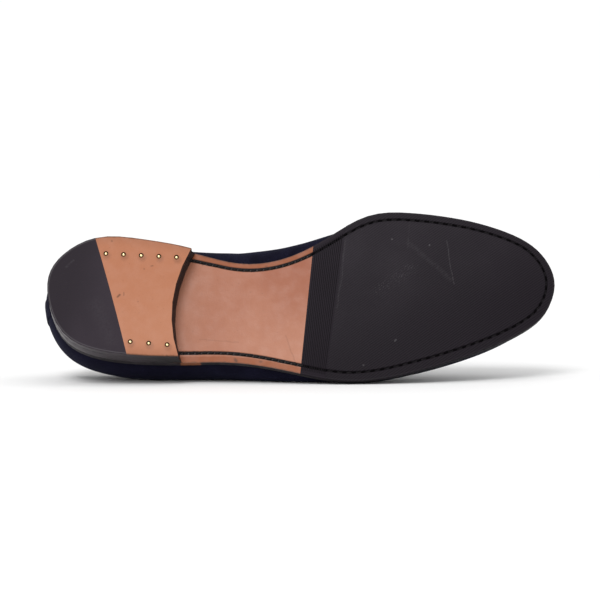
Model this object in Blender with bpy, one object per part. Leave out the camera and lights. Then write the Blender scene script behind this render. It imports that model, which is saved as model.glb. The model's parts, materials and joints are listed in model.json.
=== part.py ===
"""A left slip-on dress slipper on its outer side: napped upper, welted leather sole, rubber forepart, heel.

The shoe is modelled upright in its own frame: x from the heel back to the toe, y towards the outer
(lateral) side, z up from the plane that heel and ball stand on. One empty then lays the whole assembly
down on its outer side.
"""

import math
from typing import NamedTuple

import bmesh
import bpy
import numpy as np
from mathutils import Matrix, Vector

MM = 0.001

# Thicknesses and clearances, in millimetres.
GAP = 0.3
WALL = 2.0
OUTSOLE_THICK = 5.0
WELT_THICK = 2.0
WELT_WIDTH = 11.0
WELT_SETBACK = 0.3
HALF_SOLE_THICK = 2.0
TREAD_STEP_HEIGHT = 0.5
INSOLE_THICK = 2.8
INSOLE_CLEARANCE = 0.6
TOP_PIECE_THICK = 6.0
STRIP_THICK = 1.0
EDGE_BEVEL = 0.5

# The heel block narrows a little from its seat down to its tread, and its breast slopes back.
SEAT_INSET = 0.1
TREAD_INSET = 0.8
BREAST_SLOPE = 1.2

# Brass nails of the heel's top piece.
NAIL_RADIUS = 1.1
NAIL_LENGTH = 4.6
NAIL_RECESS = 0.25
NAIL_SIDES = 12

# How finely the forms are divided: steps from rib to rib, up the upper's wall and across the sole.
RIB_STEPS = 4
WALL_STEPS = 12
CROSS_STEPS = 6

# The shoe lies on its outer side: the floor leans in over the upper from upright, and turns a little
# about the sole. The soft upper is pressed flat where it meets the floor, with a gentle turn at its edge.
FLOOR_LEAN = math.radians(18.0)
FLOOR_YAW = math.radians(0.54)
PRESS_SOFTNESS = 1.0

# The upper's wall swells most below mid height, where a skewed sine has its peak, and the swell fades out
# towards the top. Ribs in front of the throat row meet along the instep ridge, which ends near the toe tip.
BULGE_SKEW = 0.6
BULGE_FADE = 4
THROAT_ROW = 7
RIDGE_END = 0.5

# The back strip, in rows from the heel back, minus on the medial side, and in shares of the wall's height.
STRIP_MEDIAL_ROW = -0.12
STRIP_LATERAL_ROW = 0.31
STRIP_COLUMNS = 5
STRIP_FOOT = 0.03
STRIP_HEAD = 0.97

# Welding distance in millimetres, and the angles past which an edge is shaded sharp or gets a bevel.
WELD = 0.002
SHARP_ANGLE = math.radians(40.0)
BEVEL_ANGLE = math.radians(50.0)


class SoleEdge(NamedTuple):
    """One row of the sole's outline, its outer (lateral) and inner (medial) edge, in millimetres."""

    place: str
    lateral_x: float
    lateral_y: float
    medial_x: float
    medial_y: float


SOLE_EDGES = (
    SoleEdge("heel_back", 0.3, -4.0, 0.3, -4.0),
    SoleEdge("heel_corner", 9.5, 20.5, 6.2, -23.6),
    SoleEdge("heel", 32.0, 32.2, 28.0, -37.0),
    SoleEdge("heel_front", 60.0, 35.3, 56.0, -36.3),
    SoleEdge("breast", 85.0, 35.7, 83.0, -31.2),
    SoleEdge("waist", 110.0, 36.8, 107.0, -24.0),
    SoleEdge("waist_front", 136.0, 41.6, 131.0, -23.2),
    SoleEdge("ball_rear", 160.0, 47.4, 157.0, -32.8),
    SoleEdge("ball", 182.0, 49.4, 185.0, -48.8),
    SoleEdge("ball_front", 207.0, 45.6, 212.0, -51.4),
    SoleEdge("toe_rear", 234.0, 37.7, 239.0, -48.4),
    SoleEdge("toe", 258.0, 28.3, 262.0, -43.3),
    SoleEdge("toe_front", 278.0, 17.5, 281.0, -35.6),
    SoleEdge("toe_corner", 290.8, 5.5, 292.3, -24.6),
    SoleEdge("toe_tip", 296.4, -10.5, 296.4, -10.5),
)


class UpperRib(NamedTuple):
    """One rib of the upper, from the sole's edge to the collar or, before the throat, to the ridge."""

    place: str
    lateral_inset: float
    medial_inset: float
    lateral_bulge: float
    medial_bulge: float
    top_x: float
    top_y: float
    top_half: float
    top_z: float
    sweep_deg: float
    peak: float


UPPER_RIBS = (
    UpperRib("heel_back", 1.5, 1.5, 6.0, 6.0, 4.5, -3.5, 0.0, 82.0, 60.0, 1.0),
    UpperRib("heel_corner", 1.5, 1.5, 5.2, 5.0, 13.5, -3.8, 16.0, 80.5, 60.0, 1.0),
    UpperRib("heel", 1.5, 1.5, 5.4, 4.5, 34.0, -3.0, 25.0, 75.5, 62.0, 1.0),
    UpperRib("heel_front", 1.5, 1.5, 7.0, 5.0, 60.0, -2.0, 27.5, 72.0, 62.0, 1.0),
    UpperRib("breast", 1.5, 1.5, 7.0, 8.5, 84.0, -2.0, 26.5, 74.0, 62.0, 1.0),
    UpperRib("waist", 2.0, 1.5, 8.0, 14.5, 106.0, -3.0, 22.5, 81.5, 68.0, 1.15),
    UpperRib("waist_front", 2.5, 2.0, 9.0, 16.5, 122.0, -4.5, 13.0, 89.5, 78.0, 1.35),
    UpperRib("ball_rear", 3.5, 3.0, 6.5, 13.5, 129.0, -6.0, 0.0, 92.5, 90.0, 1.5),
    UpperRib("ball", 4.0, 4.0, 3.5, 4.5, 153.0, -8.5, 0.0, 84.0, 90.0, 1.5),
    UpperRib("ball_front", 4.0, 4.0, 4.4, 2.5, 180.0, -10.0, 0.0, 71.5, 90.0, 1.35),
    UpperRib("toe_rear", 4.0, 4.0, 5.2, 2.0, 208.0, -11.0, 0.0, 58.5, 90.0, 1.2),
    UpperRib("toe", 4.0, 4.0, 5.2, 2.0, 234.0, -11.5, 0.0, 48.0, 90.0, 1.1),
    UpperRib("toe_front", 4.0, 4.0, 4.0, 1.5, 256.0, -11.2, 0.0, 41.5, 90.0, 1.0),
    UpperRib("toe_corner", 4.0, 4.0, 2.6, 1.5, 272.0, -10.8, 0.0, 37.8, 90.0, 1.0),
    UpperRib("toe_tip", 4.0, 4.0, 1.5, 1.5, 281.0, -10.5, 0.0, 35.2, 90.0, 1.0),
)


class ProfilePoint(NamedTuple):
    """Height of the sole's underside along the shoe, in millimetres."""

    x: float
    z: float


SOLE_PROFILE = (
    ProfilePoint(0.0, 15.2),
    ProfilePoint(40.0, 14.8),
    ProfilePoint(78.0, 13.6),
    ProfilePoint(105.0, 9.6),
    ProfilePoint(135.0, 4.8),
    ProfilePoint(162.0, 1.7),
    ProfilePoint(186.0, 0.5),
    ProfilePoint(214.0, 0.5),
    ProfilePoint(240.0, 2.0),
    ProfilePoint(268.0, 5.9),
    ProfilePoint(296.4, 12.0),
)


class CrossLine(NamedTuple):
    """A line across the sole, from a row of its lateral edge to one of its medial edge, bowed heelwards."""

    lateral_row: float
    medial_row: float
    bow: float


HEEL_BACK = CrossLine(0.0, 0.0, 0.0)
RUBBER_LINE = CrossLine(2.56, 2.0, -0.5)
BREAST = CrossLine(3.69, 4.06, 7.2)
HALF_SOLE_REAR = CrossLine(6.47, 6.94, 0.0)
TREAD_STEP = CrossLine(7.1, 7.62, 0.0)
TOE_TIP = CrossLine(14.0, 14.0, 0.0)


class NailRow(NamedTuple):
    """A row of nails in the heel's top piece, from its rear to its front nail."""

    rear: tuple
    front: tuple
    count: int


NAIL_ROWS = (
    NailRow((34.6, -26.7), (75.7, -24.5), 5),
    NailRow((49.7, 26.1), (71.0, 27.9), 3),
)


class Finish(NamedTuple):
    """Colour, roughness and metallic value of a material."""

    color: tuple
    roughness: float
    metallic: float


FINISHES = {
    "navy_nap": Finish((0.012, 0.013, 0.035), 0.9, 0.0),
    "sole_leather": Finish((0.50, 0.24, 0.14), 0.5, 0.0),
    "edge_black": Finish((0.03, 0.026, 0.03), 0.4, 0.0),
    "sole_rubber": Finish((0.045, 0.04, 0.047), 0.65, 0.0),
    "insole_tan": Finish((0.45, 0.27, 0.16), 0.6, 0.0),
    "brass": Finish((0.80, 0.62, 0.30), 0.3, 1.0),
}

LAST_ROW = len(SOLE_EDGES) - 1
LOOP_ROWS = 2 * LAST_ROW
WELT_FOOT = OUTSOLE_THICK + GAP
WELT_TOP = WELT_FOOT + WELT_THICK
FEATHER = WELT_TOP + GAP


def closed_spline(knots):
    """A smooth closed curve through knots one row apart, as a function of the row: value and slope."""
    knots = np.asarray(knots, float)
    count = len(knots)
    system = 4 * np.eye(count) + np.roll(np.eye(count), 1, axis=1) + np.roll(np.eye(count), -1, axis=1)
    slopes = np.linalg.solve(system, 3 * (np.roll(knots, -1, axis=0) - np.roll(knots, 1, axis=0)))

    def at(rows):
        rows = np.mod(np.asarray(rows, float), count)
        left = np.floor(rows).astype(int) % count
        right = (left + 1) % count
        s = (rows - np.floor(rows)).reshape(rows.shape + (1,) * (knots.ndim - 1))
        rise = knots[right] - knots[left]
        value = (
            knots[left]
            + s * slopes[left]
            + s**2 * (3 * rise - 2 * slopes[left] - slopes[right])
            + s**3 * (slopes[left] + slopes[right] - 2 * rise)
        )
        slope = (
            slopes[left]
            + 2 * s * (3 * rise - 2 * slopes[left] - slopes[right])
            + 3 * s**2 * (slopes[left] + slopes[right] - 2 * rise)
        )
        return value, slope

    return at


def monotone_curve(points):
    """A curve through (x, z) points that never overshoots them, so a level stretch stays level."""
    x, z = np.array(points, float).T
    step, chord = np.diff(x), np.diff(z) / np.diff(x)
    slopes = np.concatenate(([chord[0]], np.zeros(len(x) - 2), [chord[-1]]))
    for i in range(1, len(x) - 1):
        if chord[i - 1] * chord[i] > 0:
            before, after = 2 * step[i] + step[i - 1], step[i] + 2 * step[i - 1]
            slopes[i] = (before + after) / (before / chord[i - 1] + after / chord[i])

    def at(where):
        where = np.clip(where, x[0], x[-1])
        i = np.clip(np.searchsorted(x, where) - 1, 0, len(step) - 1)
        s = (where - x[i]) / step[i]
        return (
            z[i] * (1 + 2 * s) * (1 - s) ** 2
            + z[i + 1] * s**2 * (3 - 2 * s)
            + step[i] * s * (1 - s) * (slopes[i] * (1 - s) - slopes[i + 1] * s)
        )

    return at


def round_trip(lateral, medial):
    """Knots of a closed loop: up the lateral side from heel to toe, then back along the medial side."""
    return list(lateral) + list(medial[-2:0:-1])


sole_height = monotone_curve(SOLE_PROFILE)
edge_curve = closed_spline(
    round_trip(
        [(edge.lateral_x, edge.lateral_y) for edge in SOLE_EDGES],
        [(edge.medial_x, edge.medial_y) for edge in SOLE_EDGES],
    )
)
wall_curve = closed_spline(
    round_trip(
        [(rib.lateral_inset, rib.lateral_bulge, rib.sweep_deg, rib.peak) for rib in UPPER_RIBS],
        [(rib.medial_inset, rib.medial_bulge, rib.sweep_deg, rib.peak) for rib in UPPER_RIBS],
    )
)
collar_ribs = UPPER_RIBS[: THROAT_ROW + 1]
collar_curve = closed_spline(
    round_trip(
        [(rib.top_x, rib.top_y + rib.top_half, rib.top_z) for rib in collar_ribs],
        [(rib.top_x, rib.top_y - rib.top_half, rib.top_z) for rib in collar_ribs],
    )
)
ridge_tops = [(rib.top_x, rib.top_y, rib.top_z) for rib in UPPER_RIBS]
ridge_curve = closed_spline(round_trip(ridge_tops, ridge_tops))


def sole_edge(rows, inset=0.0):
    """Points of the sole's outline, moved inwards by inset, with their outward normals."""
    points, tangents = edge_curve(rows)
    normals = np.stack((-tangents[..., 1], tangents[..., 0]), axis=-1)
    normals /= np.linalg.norm(normals, axis=-1, keepdims=True)
    return points - normals * np.asarray(inset)[..., None], normals


floor_normal = np.array(
    (
        math.sin(FLOOR_YAW),
        math.cos(FLOOR_YAW) * math.cos(FLOOR_LEAN),
        math.cos(FLOOR_YAW) * math.sin(FLOOR_LEAN),
    )
)


def floor_reach():
    """Distance of the floor's plane from the origin: it touches the welt's outer edge at the ball."""
    rows = np.linspace(0, LAST_ROW, LAST_ROW * RIB_STEPS + 1)
    plan, _ = sole_edge(rows, WELT_SETBACK)
    return (heightened(plan, sole_height(plan[:, 0]) + WELT_TOP) @ floor_normal).max()


def pressed(points):
    """Points with those beyond the floor's plane brought back to it."""
    beyond = points @ floor_normal - floor_reach()
    push = (beyond + np.sqrt(beyond**2 + PRESS_SOFTNESS**2)) / 2
    return points - push[..., None] * floor_normal


def upper_top(rows):
    """Where each rib ends, on the collar or in front of the throat on the ridge, and the ridge's pitch."""
    rows = np.mod(rows, LOOP_ROWS)
    medial = rows > LAST_ROW
    side_rows = np.where(medial, LOOP_ROWS - rows, rows)
    collar_rows = np.where(medial, 2 * THROAT_ROW - side_rows, side_rows)
    on_ridge = (side_rows >= THROAT_ROW)[..., None]
    top = np.where(on_ridge, ridge_curve(side_rows)[0], collar_curve(collar_rows)[0])
    along = ridge_curve(np.clip(side_rows, THROAT_ROW, LAST_ROW - RIDGE_END))[1]
    return top, along[..., 2] / along[..., 0]


def upper_point(rows, height):
    """Outer surface of the upper: rows run round the sole's edge, height is 0 at the welt, 1 at the top."""
    rows, height = np.broadcast_arrays(np.asarray(rows, float), np.asarray(height, float))
    inset, bulge, sweep, peak = np.moveaxis(wall_curve(rows)[0], -1, 0)
    foot, normals = sole_edge(rows, inset)
    foot_z = sole_height(foot[..., 0]) + FEATHER
    top, pitch = upper_top(rows)
    full = np.radians(np.clip(sweep, 0, 90))
    angle = height * full
    inward = ((1 - np.cos(angle)) / (1 - np.cos(full)))[..., None]
    rise = (np.sin(angle) / np.sin(full)) ** peak
    swell = (bulge * np.sin(math.pi * height**BULGE_SKEW) * (1 - height**BULGE_FADE))[..., None]
    plan = foot + (top[..., :2] - foot) * inward + normals * swell
    top_z = top[..., 2] + pitch * (plan[..., 0] - top[..., 0])
    return pressed(heightened(plan, foot_z + (top_z - foot_z) * rise))


def panel(start, end, steps, inset=0.0):
    """A grid of plan points from one cross line to another, in rows across the sole, lateral edge first."""
    along = np.linspace(0, 1, steps + 1)
    lateral, _ = sole_edge(start.lateral_row + along * (end.lateral_row - start.lateral_row), inset)
    medial, _ = sole_edge(-(start.medial_row + along * (end.medial_row - start.medial_row)), inset)
    across = np.linspace(0, 1, CROSS_STEPS + 1)[None, :, None]
    grid = lateral[:, None] * (1 - across) + medial[:, None] * across
    bow = start.bow + along * (end.bow - start.bow)
    grid[..., 0] -= bow[:, None] * (4 * across * (1 - across))[..., 0]
    return grid


def moved_forward(line, length):
    """A cross line moved towards the toe by a length, taken as a share of the usual distance between rows."""
    share = length * LAST_ROW / (SOLE_EDGES[-1].lateral_x - SOLE_EDGES[0].lateral_x)
    return line._replace(lateral_row=line.lateral_row + share, medial_row=line.medial_row + share)


def heightened(plan, z):
    """Plan points with a height, given as one number or as an array."""
    return np.concatenate((plan, np.broadcast_to(z, plan.shape[:-1])[..., None]), axis=-1)


def steps_between(start, end):
    """Number of rows of faces between two cross lines."""
    rows = max(end.lateral_row - start.lateral_row, end.medial_row - start.medial_row)
    return max(1, round(rows * RIB_STEPS))


def new_object(name, mesh_builder, finish, parent):
    """An object of the builder's mesh, with its material, under the empty that lays the shoe down."""
    mesh = bpy.data.meshes.new(name)
    mesh_builder.to_mesh(mesh)
    mesh_builder.free()
    mesh.shade_smooth()
    mesh.set_sharp_from_angle(angle=SHARP_ANGLE)
    mesh.materials.append(material(finish))
    made = bpy.data.objects.new(name, mesh)
    bpy.context.scene.collection.objects.link(made)
    made.parent = parent
    return made


def material(name):
    """A plain material with the colour, roughness and metallic value of a finish."""
    found = bpy.data.materials.get(name)
    if found:
        return found
    finish = FINISHES[name]
    made = bpy.data.materials.new(name)
    made.use_nodes = True
    shader = made.node_tree.nodes["Principled BSDF"]
    shader.inputs["Base Color"].default_value = (*finish.color, 1.0)
    shader.inputs["Roughness"].default_value = finish.roughness
    shader.inputs["Metallic"].default_value = finish.metallic
    return made


def add_points(builder, grid):
    """New mesh vertices for a grid of points in millimetres, in the same rows and columns."""
    return [[builder.verts.new(Vector(point) * MM) for point in row] for row in grid]


def add_face(builder, corners):
    """A face over the corners, leaving out any that repeat."""
    kept = list(dict.fromkeys(corners))
    if len(kept) > 2:
        builder.faces.new(kept)


def tidy(builder):
    """Welds doubled points, drops empty faces and turns all faces outwards."""
    bmesh.ops.remove_doubles(builder, verts=builder.verts, dist=WELD * MM)
    bmesh.ops.dissolve_degenerate(builder, edges=builder.edges, dist=WELD * MM)
    bmesh.ops.recalc_face_normals(builder, faces=builder.faces)


def slab(under, over):
    """A closed slab between two grids of points of the same shape."""
    builder = bmesh.new()
    low, high = add_points(builder, under), add_points(builder, over)
    rows, columns = len(low), len(low[0])
    for i in range(rows - 1):
        for j in range(columns - 1):
            add_face(builder, (low[i][j], low[i + 1][j], low[i + 1][j + 1], low[i][j + 1]))
            add_face(builder, (high[i][j], high[i][j + 1], high[i + 1][j + 1], high[i + 1][j]))
        for j, k in ((0, 0), (columns - 1, columns - 1)):
            add_face(builder, (low[i][j], high[i][j], high[i + 1][k], low[i + 1][k]))
    for i in (0, rows - 1):
        for j in range(columns - 1):
            add_face(builder, (low[i][j], low[i][j + 1], high[i][j + 1], high[i][j]))
    tidy(builder)
    return builder


def ring(corners):
    """A closed band round the shoe, from the loops of points that its section's corners run along."""
    builder = bmesh.new()
    loops = add_points(builder, corners)
    for loop, after in zip(loops, loops[1:] + loops[:1]):
        for i in range(len(loop)):
            j = (i + 1) % len(loop)
            add_face(builder, (loop[i], loop[j], after[j], after[i]))
    tidy(builder)
    return builder


def ease_edges(made, width=EDGE_BEVEL):
    """Breaks the sharp edges of a piece."""
    bevel = made.modifiers.new("eased_edges", "BEVEL")
    bevel.width = width * MM
    bevel.segments = 1
    bevel.limit_method = "ANGLE"
    bevel.angle_limit = BEVEL_ANGLE


def outsole(parent):
    """The full-length leather sole, thinned under the forefoot where the rubber is let in."""
    rear = panel(HEEL_BACK, HALF_SOLE_REAR, steps_between(HEEL_BACK, HALF_SOLE_REAR))
    fore = panel(HALF_SOLE_REAR, TOE_TIP, steps_between(HALF_SOLE_REAR, TOE_TIP))
    seat = HALF_SOLE_THICK + GAP
    plan = np.concatenate((rear, fore))
    height = sole_height(plan[..., 0])
    thinned = np.concatenate((np.zeros(rear.shape[:2]), np.full(fore.shape[:2], seat)))
    builder = slab(heightened(plan, height + thinned), heightened(plan, height + OUTSOLE_THICK))
    ease_edges(new_object("outsole", builder, "sole_leather", parent))


def half_sole(parent):
    """The rubber forepart: a thin strip at its rear edge, then a tread that stands a step proud of it."""
    rear = moved_forward(HALF_SOLE_REAR, GAP)
    strip = panel(rear, TREAD_STEP, steps_between(rear, TREAD_STEP))
    tread = panel(TREAD_STEP, TOE_TIP, steps_between(TREAD_STEP, TOE_TIP))
    plan = np.concatenate((strip, tread))
    height = sole_height(plan[..., 0])
    proud = np.concatenate((np.zeros(strip.shape[:2]), np.full(tread.shape[:2], TREAD_STEP_HEIGHT)))
    builder = slab(heightened(plan, height - proud), heightened(plan, height + HALF_SOLE_THICK))
    new_object("half_sole", builder, "sole_rubber", parent)


def welt(parent):
    """The strip between sole and upper, flush with the sole's edge, that the sole is sewn to."""
    rows = np.linspace(0, LOOP_ROWS, LOOP_ROWS * RIB_STEPS, endpoint=False)
    outer, _ = sole_edge(rows, WELT_SETBACK)
    inner, _ = sole_edge(rows, WELT_WIDTH)
    corners = [
        heightened(plan, sole_height(plan[:, 0]) + lift)
        for plan, lift in ((outer, WELT_FOOT), (outer, WELT_TOP), (inner, WELT_TOP), (inner, WELT_FOOT))
    ]
    new_object("welt", ring(corners), "edge_black", parent)


def insole(parent):
    """The board and sock inside the upper, resting on the welt."""
    steps = steps_between(HEEL_BACK, TOE_TIP)
    rows = np.linspace(0, LAST_ROW, steps + 1)
    sides = []
    for loop_rows in (rows, -rows):
        inset = wall_curve(loop_rows)[0][..., 0] + WALL + INSOLE_CLEARANCE
        sides.append(sole_edge(loop_rows, inset)[0])
    across = np.linspace(0, 1, CROSS_STEPS + 1)[None, :, None]
    plan = sides[0][:, None] * (1 - across) + sides[1][:, None] * across
    foot = sole_height(plan[..., 0]) + FEATHER
    builder = slab(heightened(plan, foot), heightened(plan, foot + INSOLE_THICK))
    new_object("insole", builder, "insole_tan", parent)


def heel_stack(parent):
    """The leather heel block, with a hollowed, sloping breast and sides that taper towards the tread."""
    steps = steps_between(HEEL_BACK, BREAST)
    foot = panel(HEEL_BACK, BREAST, steps, TREAD_INSET)
    seat = panel(HEEL_BACK, moved_forward(BREAST, BREAST_SLOPE), steps, SEAT_INSET)
    under = heightened(foot, TOP_PIECE_THICK + GAP)
    over = heightened(seat, sole_height(seat[..., 0]) - GAP)
    ease_edges(new_object("heel_stack", slab(under, over), "edge_black", parent), EDGE_BEVEL / 2)


def heel_top(name, start, end, finish, parent):
    """One piece of the heel's top piece, flat underneath where it treads."""
    plan = panel(start, end, steps_between(start, end), TREAD_INSET)
    return new_object(name, slab(heightened(plan, 0.0), heightened(plan, TOP_PIECE_THICK)), finish, parent)


def cylinder(radius, foot, head):
    """A round bar along z between two heights, in millimetres."""
    builder = bmesh.new()
    place = Matrix.Translation((0, 0, (foot + head) / 2 * MM))
    bmesh.ops.create_cone(
        builder,
        cap_ends=True,
        segments=NAIL_SIDES,
        radius1=radius * MM,
        radius2=radius * MM,
        depth=(head - foot) * MM,
        matrix=place,
    )
    return builder


def heel_nails(top_piece, parent):
    """Brass nails in two rows, each in its own hole in the leather top piece."""
    number = 0
    for row in NAIL_ROWS:
        for x, y in np.linspace(row.rear, row.front, row.count):
            number += 1
            shank = cylinder(NAIL_RADIUS, NAIL_RECESS, NAIL_LENGTH)
            room = cylinder(NAIL_RADIUS + GAP, -GAP, NAIL_LENGTH + GAP)
            nail = new_object(f"heel_nail_{number}", shank, "brass", parent)
            hole = new_object(f"nail_hole_{number}", room, "brass", parent)
            for made in (nail, hole):
                made.location = (x * MM, y * MM, 0)
            hole.hide_render = True
            hole.display_type = "WIRE"
            cut = top_piece.modifiers.new(hole.name, "BOOLEAN")
            cut.operation = "DIFFERENCE"
            cut.object = hole


def skin(points, closed):
    """An open sheet of faces over a grid of points; a closed one joins its last column to its first."""
    builder = bmesh.new()
    grid = add_points(builder, points)
    columns = len(grid[0])
    for low, high in zip(grid, grid[1:]):
        for j in range(columns if closed else columns - 1):
            k = (j + 1) % columns
            add_face(builder, (low[j], high[j], high[k], low[k]))
    bmesh.ops.remove_doubles(builder, verts=builder.verts, dist=WELD * MM)
    return builder


def thicken(made, thickness, offset):
    """Gives a sheet its wall: offset -1 grows it inwards, 1 outwards."""
    wall = made.modifiers.new("wall", "SOLIDIFY")
    wall.thickness = thickness * MM
    wall.offset = offset
    wall.use_even_offset = True


def upper(parent):
    """The hollow upper, open at the collar and underneath, its two sides joined along the instep ridge."""
    rows = np.linspace(0, LOOP_ROWS, LOOP_ROWS * RIB_STEPS, endpoint=False)
    heights = np.linspace(0, 1, WALL_STEPS + 1)
    made = new_object("upper", skin(upper_point(rows[None, :], heights[:, None]), True), "navy_nap", parent)
    thicken(made, WALL, -1)


def back_strip(parent):
    """The strip over the back seam, a patch of the upper's own surface a gap outside it."""
    rows = np.linspace(STRIP_MEDIAL_ROW, STRIP_LATERAL_ROW, STRIP_COLUMNS)
    heights = np.linspace(STRIP_FOOT, STRIP_HEAD, WALL_STEPS + 1)
    points = upper_point(rows[None, :], heights[:, None])
    along, across = np.gradient(points, axis=0), np.gradient(points, axis=1)
    outward = np.cross(along, across)
    outward /= np.linalg.norm(outward, axis=-1, keepdims=True)
    if outward[..., 0].mean() > 0:
        outward = -outward
    made = new_object("back_strip", skin(points + outward * GAP, False), "navy_nap", parent)
    thicken(made, STRIP_THICK, 1)


def laid_down(objects):
    """The transform that lays the shoe on its outer side, on the floor that its upper is pressed against."""
    up = -Vector(floor_normal)
    toe = (Vector((1, 0, 0)) - up * up.x).normalized()
    turn = Matrix((toe, up.cross(toe), up)).to_4x4()
    graph = bpy.context.evaluated_depsgraph_get()
    corners = [
        turn @ made.matrix_world @ vertex.co
        for made in objects
        for vertex in made.evaluated_get(graph).data.vertices
    ]
    low, high = np.min(corners, axis=0), np.max(corners, axis=0)
    return Matrix.Translation((-(low[0] + high[0]) / 2, -(low[1] + high[1]) / 2, -low[2])) @ turn


def main():
    """Builds all pieces upright under one empty, then lays that empty down."""
    for old in list(bpy.data.objects):
        bpy.data.objects.remove(old)
    root = bpy.data.objects.new("shoe_on_its_side", None)
    bpy.context.scene.collection.objects.link(root)
    outsole(root)
    half_sole(root)
    welt(root)
    insole(root)
    heel_stack(root)
    heel_top("heel_top_rubber", HEEL_BACK, RUBBER_LINE, "sole_rubber", root)
    leather_rear = moved_forward(RUBBER_LINE, GAP)
    top_piece = heel_top("heel_top_leather", leather_rear, BREAST, "sole_leather", root)
    heel_nails(top_piece, root)
    upper(root)
    back_strip(root)
    bpy.context.view_layer.update()
    shown = [made for made in root.children if not made.hide_render]
    root.matrix_world = laid_down(shown)


main()
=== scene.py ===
"""Looks of a left slip-on dress slipper that lies on its outer side with its sole to the camera.

Each visible solid is copied, refined and dressed, so it keeps its form. Seams, nails, ribs, binding and
creases are added in the shoe's own frame: x from heel to toe, y to the outer (lateral) side, z up from the
plane that heel and ball tread on, in millimetres.
"""

import json
import logging
import math
from dataclasses import dataclass, field
from enum import Enum
from typing import Any, Callable, Sequence

import bmesh
import bpy
import numpy as np
from mathutils import Matrix, Vector
from mathutils.bvhtree import BVHTree
from mathutils.kdtree import KDTree


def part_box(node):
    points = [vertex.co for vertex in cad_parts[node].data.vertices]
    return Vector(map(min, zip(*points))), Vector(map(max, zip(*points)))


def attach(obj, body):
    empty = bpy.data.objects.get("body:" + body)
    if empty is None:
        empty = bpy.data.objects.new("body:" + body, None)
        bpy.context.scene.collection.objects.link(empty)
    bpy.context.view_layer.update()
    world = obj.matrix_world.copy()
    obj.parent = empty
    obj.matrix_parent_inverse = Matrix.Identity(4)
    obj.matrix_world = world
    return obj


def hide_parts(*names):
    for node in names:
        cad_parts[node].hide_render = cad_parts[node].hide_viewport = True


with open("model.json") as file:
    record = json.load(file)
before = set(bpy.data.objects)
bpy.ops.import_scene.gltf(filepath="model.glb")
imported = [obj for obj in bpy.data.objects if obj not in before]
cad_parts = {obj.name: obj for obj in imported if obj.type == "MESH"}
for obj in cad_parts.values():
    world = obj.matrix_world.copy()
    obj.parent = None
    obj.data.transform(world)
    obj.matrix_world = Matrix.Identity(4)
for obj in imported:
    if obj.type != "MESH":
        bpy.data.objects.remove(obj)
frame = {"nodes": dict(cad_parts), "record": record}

LOG = logging.getLogger("slipper")
MM = 0.001
UV_MM = 100.0
BODY = "root"
FAR_MM = 60.0
UP = (0.0, 0.0, 1.0)
DOWN = (0.0, 0.0, -1.0)

Color = tuple[float, float, float]
Plan = tuple[float, float]


class Slot(Enum):
    """Material slots of the record."""

    NAP = "navy_nap"
    LEATHER = "sole_leather"
    EDGE = "edge_black"
    RUBBER = "sole_rubber"
    SOCK = "insole_tan"
    BRASS = "brass"


class Side(Enum):
    """Which way a ray looks for a surface in the shoe's frame."""

    FROM_BELOW = 1.0
    FROM_ABOVE = -1.0


@dataclass(frozen=True)
class ShoeFrame:
    """The shoe's own frame within the row frame, found from the two tread mounts."""

    to_row: Matrix
    to_shoe: Matrix

    HEEL_TREAD_X = 55.0

    @classmethod
    def from_record(cls, record: dict) -> "ShoeFrame":
        """Finds the frame from the two tread mounts.

        Args:
            record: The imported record.

        Returns:
            The shoe's frame, with matrices between shoe millimetres and row metres.
        """
        mounts = {mount["name"]: mount for mount in record["mounts"]}
        heel = Vector(mounts["heel_tread"]["pos_m"])
        toeward = (Vector(mounts["forefoot_tread"]["pos_m"]) - heel).normalized()
        up = -Vector(mounts["heel_tread"]["axis"]).normalized()
        lateral = up.cross(toeward)
        turn = Matrix((toeward, lateral, up)).transposed().to_4x4()
        origin = heel - toeward * cls.HEEL_TREAD_X * MM
        to_row = Matrix.Translation(origin) @ turn @ Matrix.Scale(MM, 4)
        return cls(to_row, to_row.inverted())

    def row_point(self, point: Sequence[float]) -> Vector:
        """A point of the shoe's frame, in row metres."""
        return self.to_row @ Vector(point)

    def row_direction(self, direction: Sequence[float]) -> Vector:
        """A unit direction of the shoe's frame, in the row frame."""
        return (self.to_row.to_3x3() @ Vector(direction)).normalized()


def smoothstep(value: np.ndarray, low: float, high: float) -> np.ndarray:
    """Goes smoothly from 0 at low to 1 at high."""
    share = np.clip((np.asarray(value, float) - low) / (high - low), 0.0, 1.0)
    return share * share * (3.0 - 2.0 * share)


def resampled(line: np.ndarray, step: float, closed: bool = False) -> np.ndarray:
    """Points at even steps along a line.

    Args:
        line: Points of the line, one per row.
        step: Distance between the new points, about.
        closed: Whether the line runs back to its start.

    Returns:
        The new points, without a repeated last one on a closed line.
    """
    points = np.vstack((line, line[:1])) if closed else np.asarray(line, float)
    run = np.concatenate(([0.0], np.cumsum(np.linalg.norm(np.diff(points, axis=0), axis=1))))
    count = max(2, round(run[-1] / step))
    places = np.linspace(0.0, run[-1], count + (0 if closed else 1), endpoint=not closed)
    return np.stack([np.interp(places, run, column) for column in points.T], axis=1)


def eased(line: np.ndarray, reach: int) -> np.ndarray:
    """A closed line with its corners eased by a running mean, taken twice.

    Args:
        line: Points of the line, one per row.
        reach: How many points the mean takes in each way.

    Returns:
        The eased line, with as many points.
    """
    for _ in range(2):
        line = np.mean([np.roll(line, shift, axis=0) for shift in range(-reach, reach + 1)], axis=0)
    return line


def line_x(line: tuple[Plan, Plan], y: Any) -> Any:
    """Where a straight line across the sole passes, at a given y or at an array of them."""
    (x0, y0), (x1, y1) = line
    return x0 + (y - y0) * (x1 - x0) / (y1 - y0)


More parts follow.
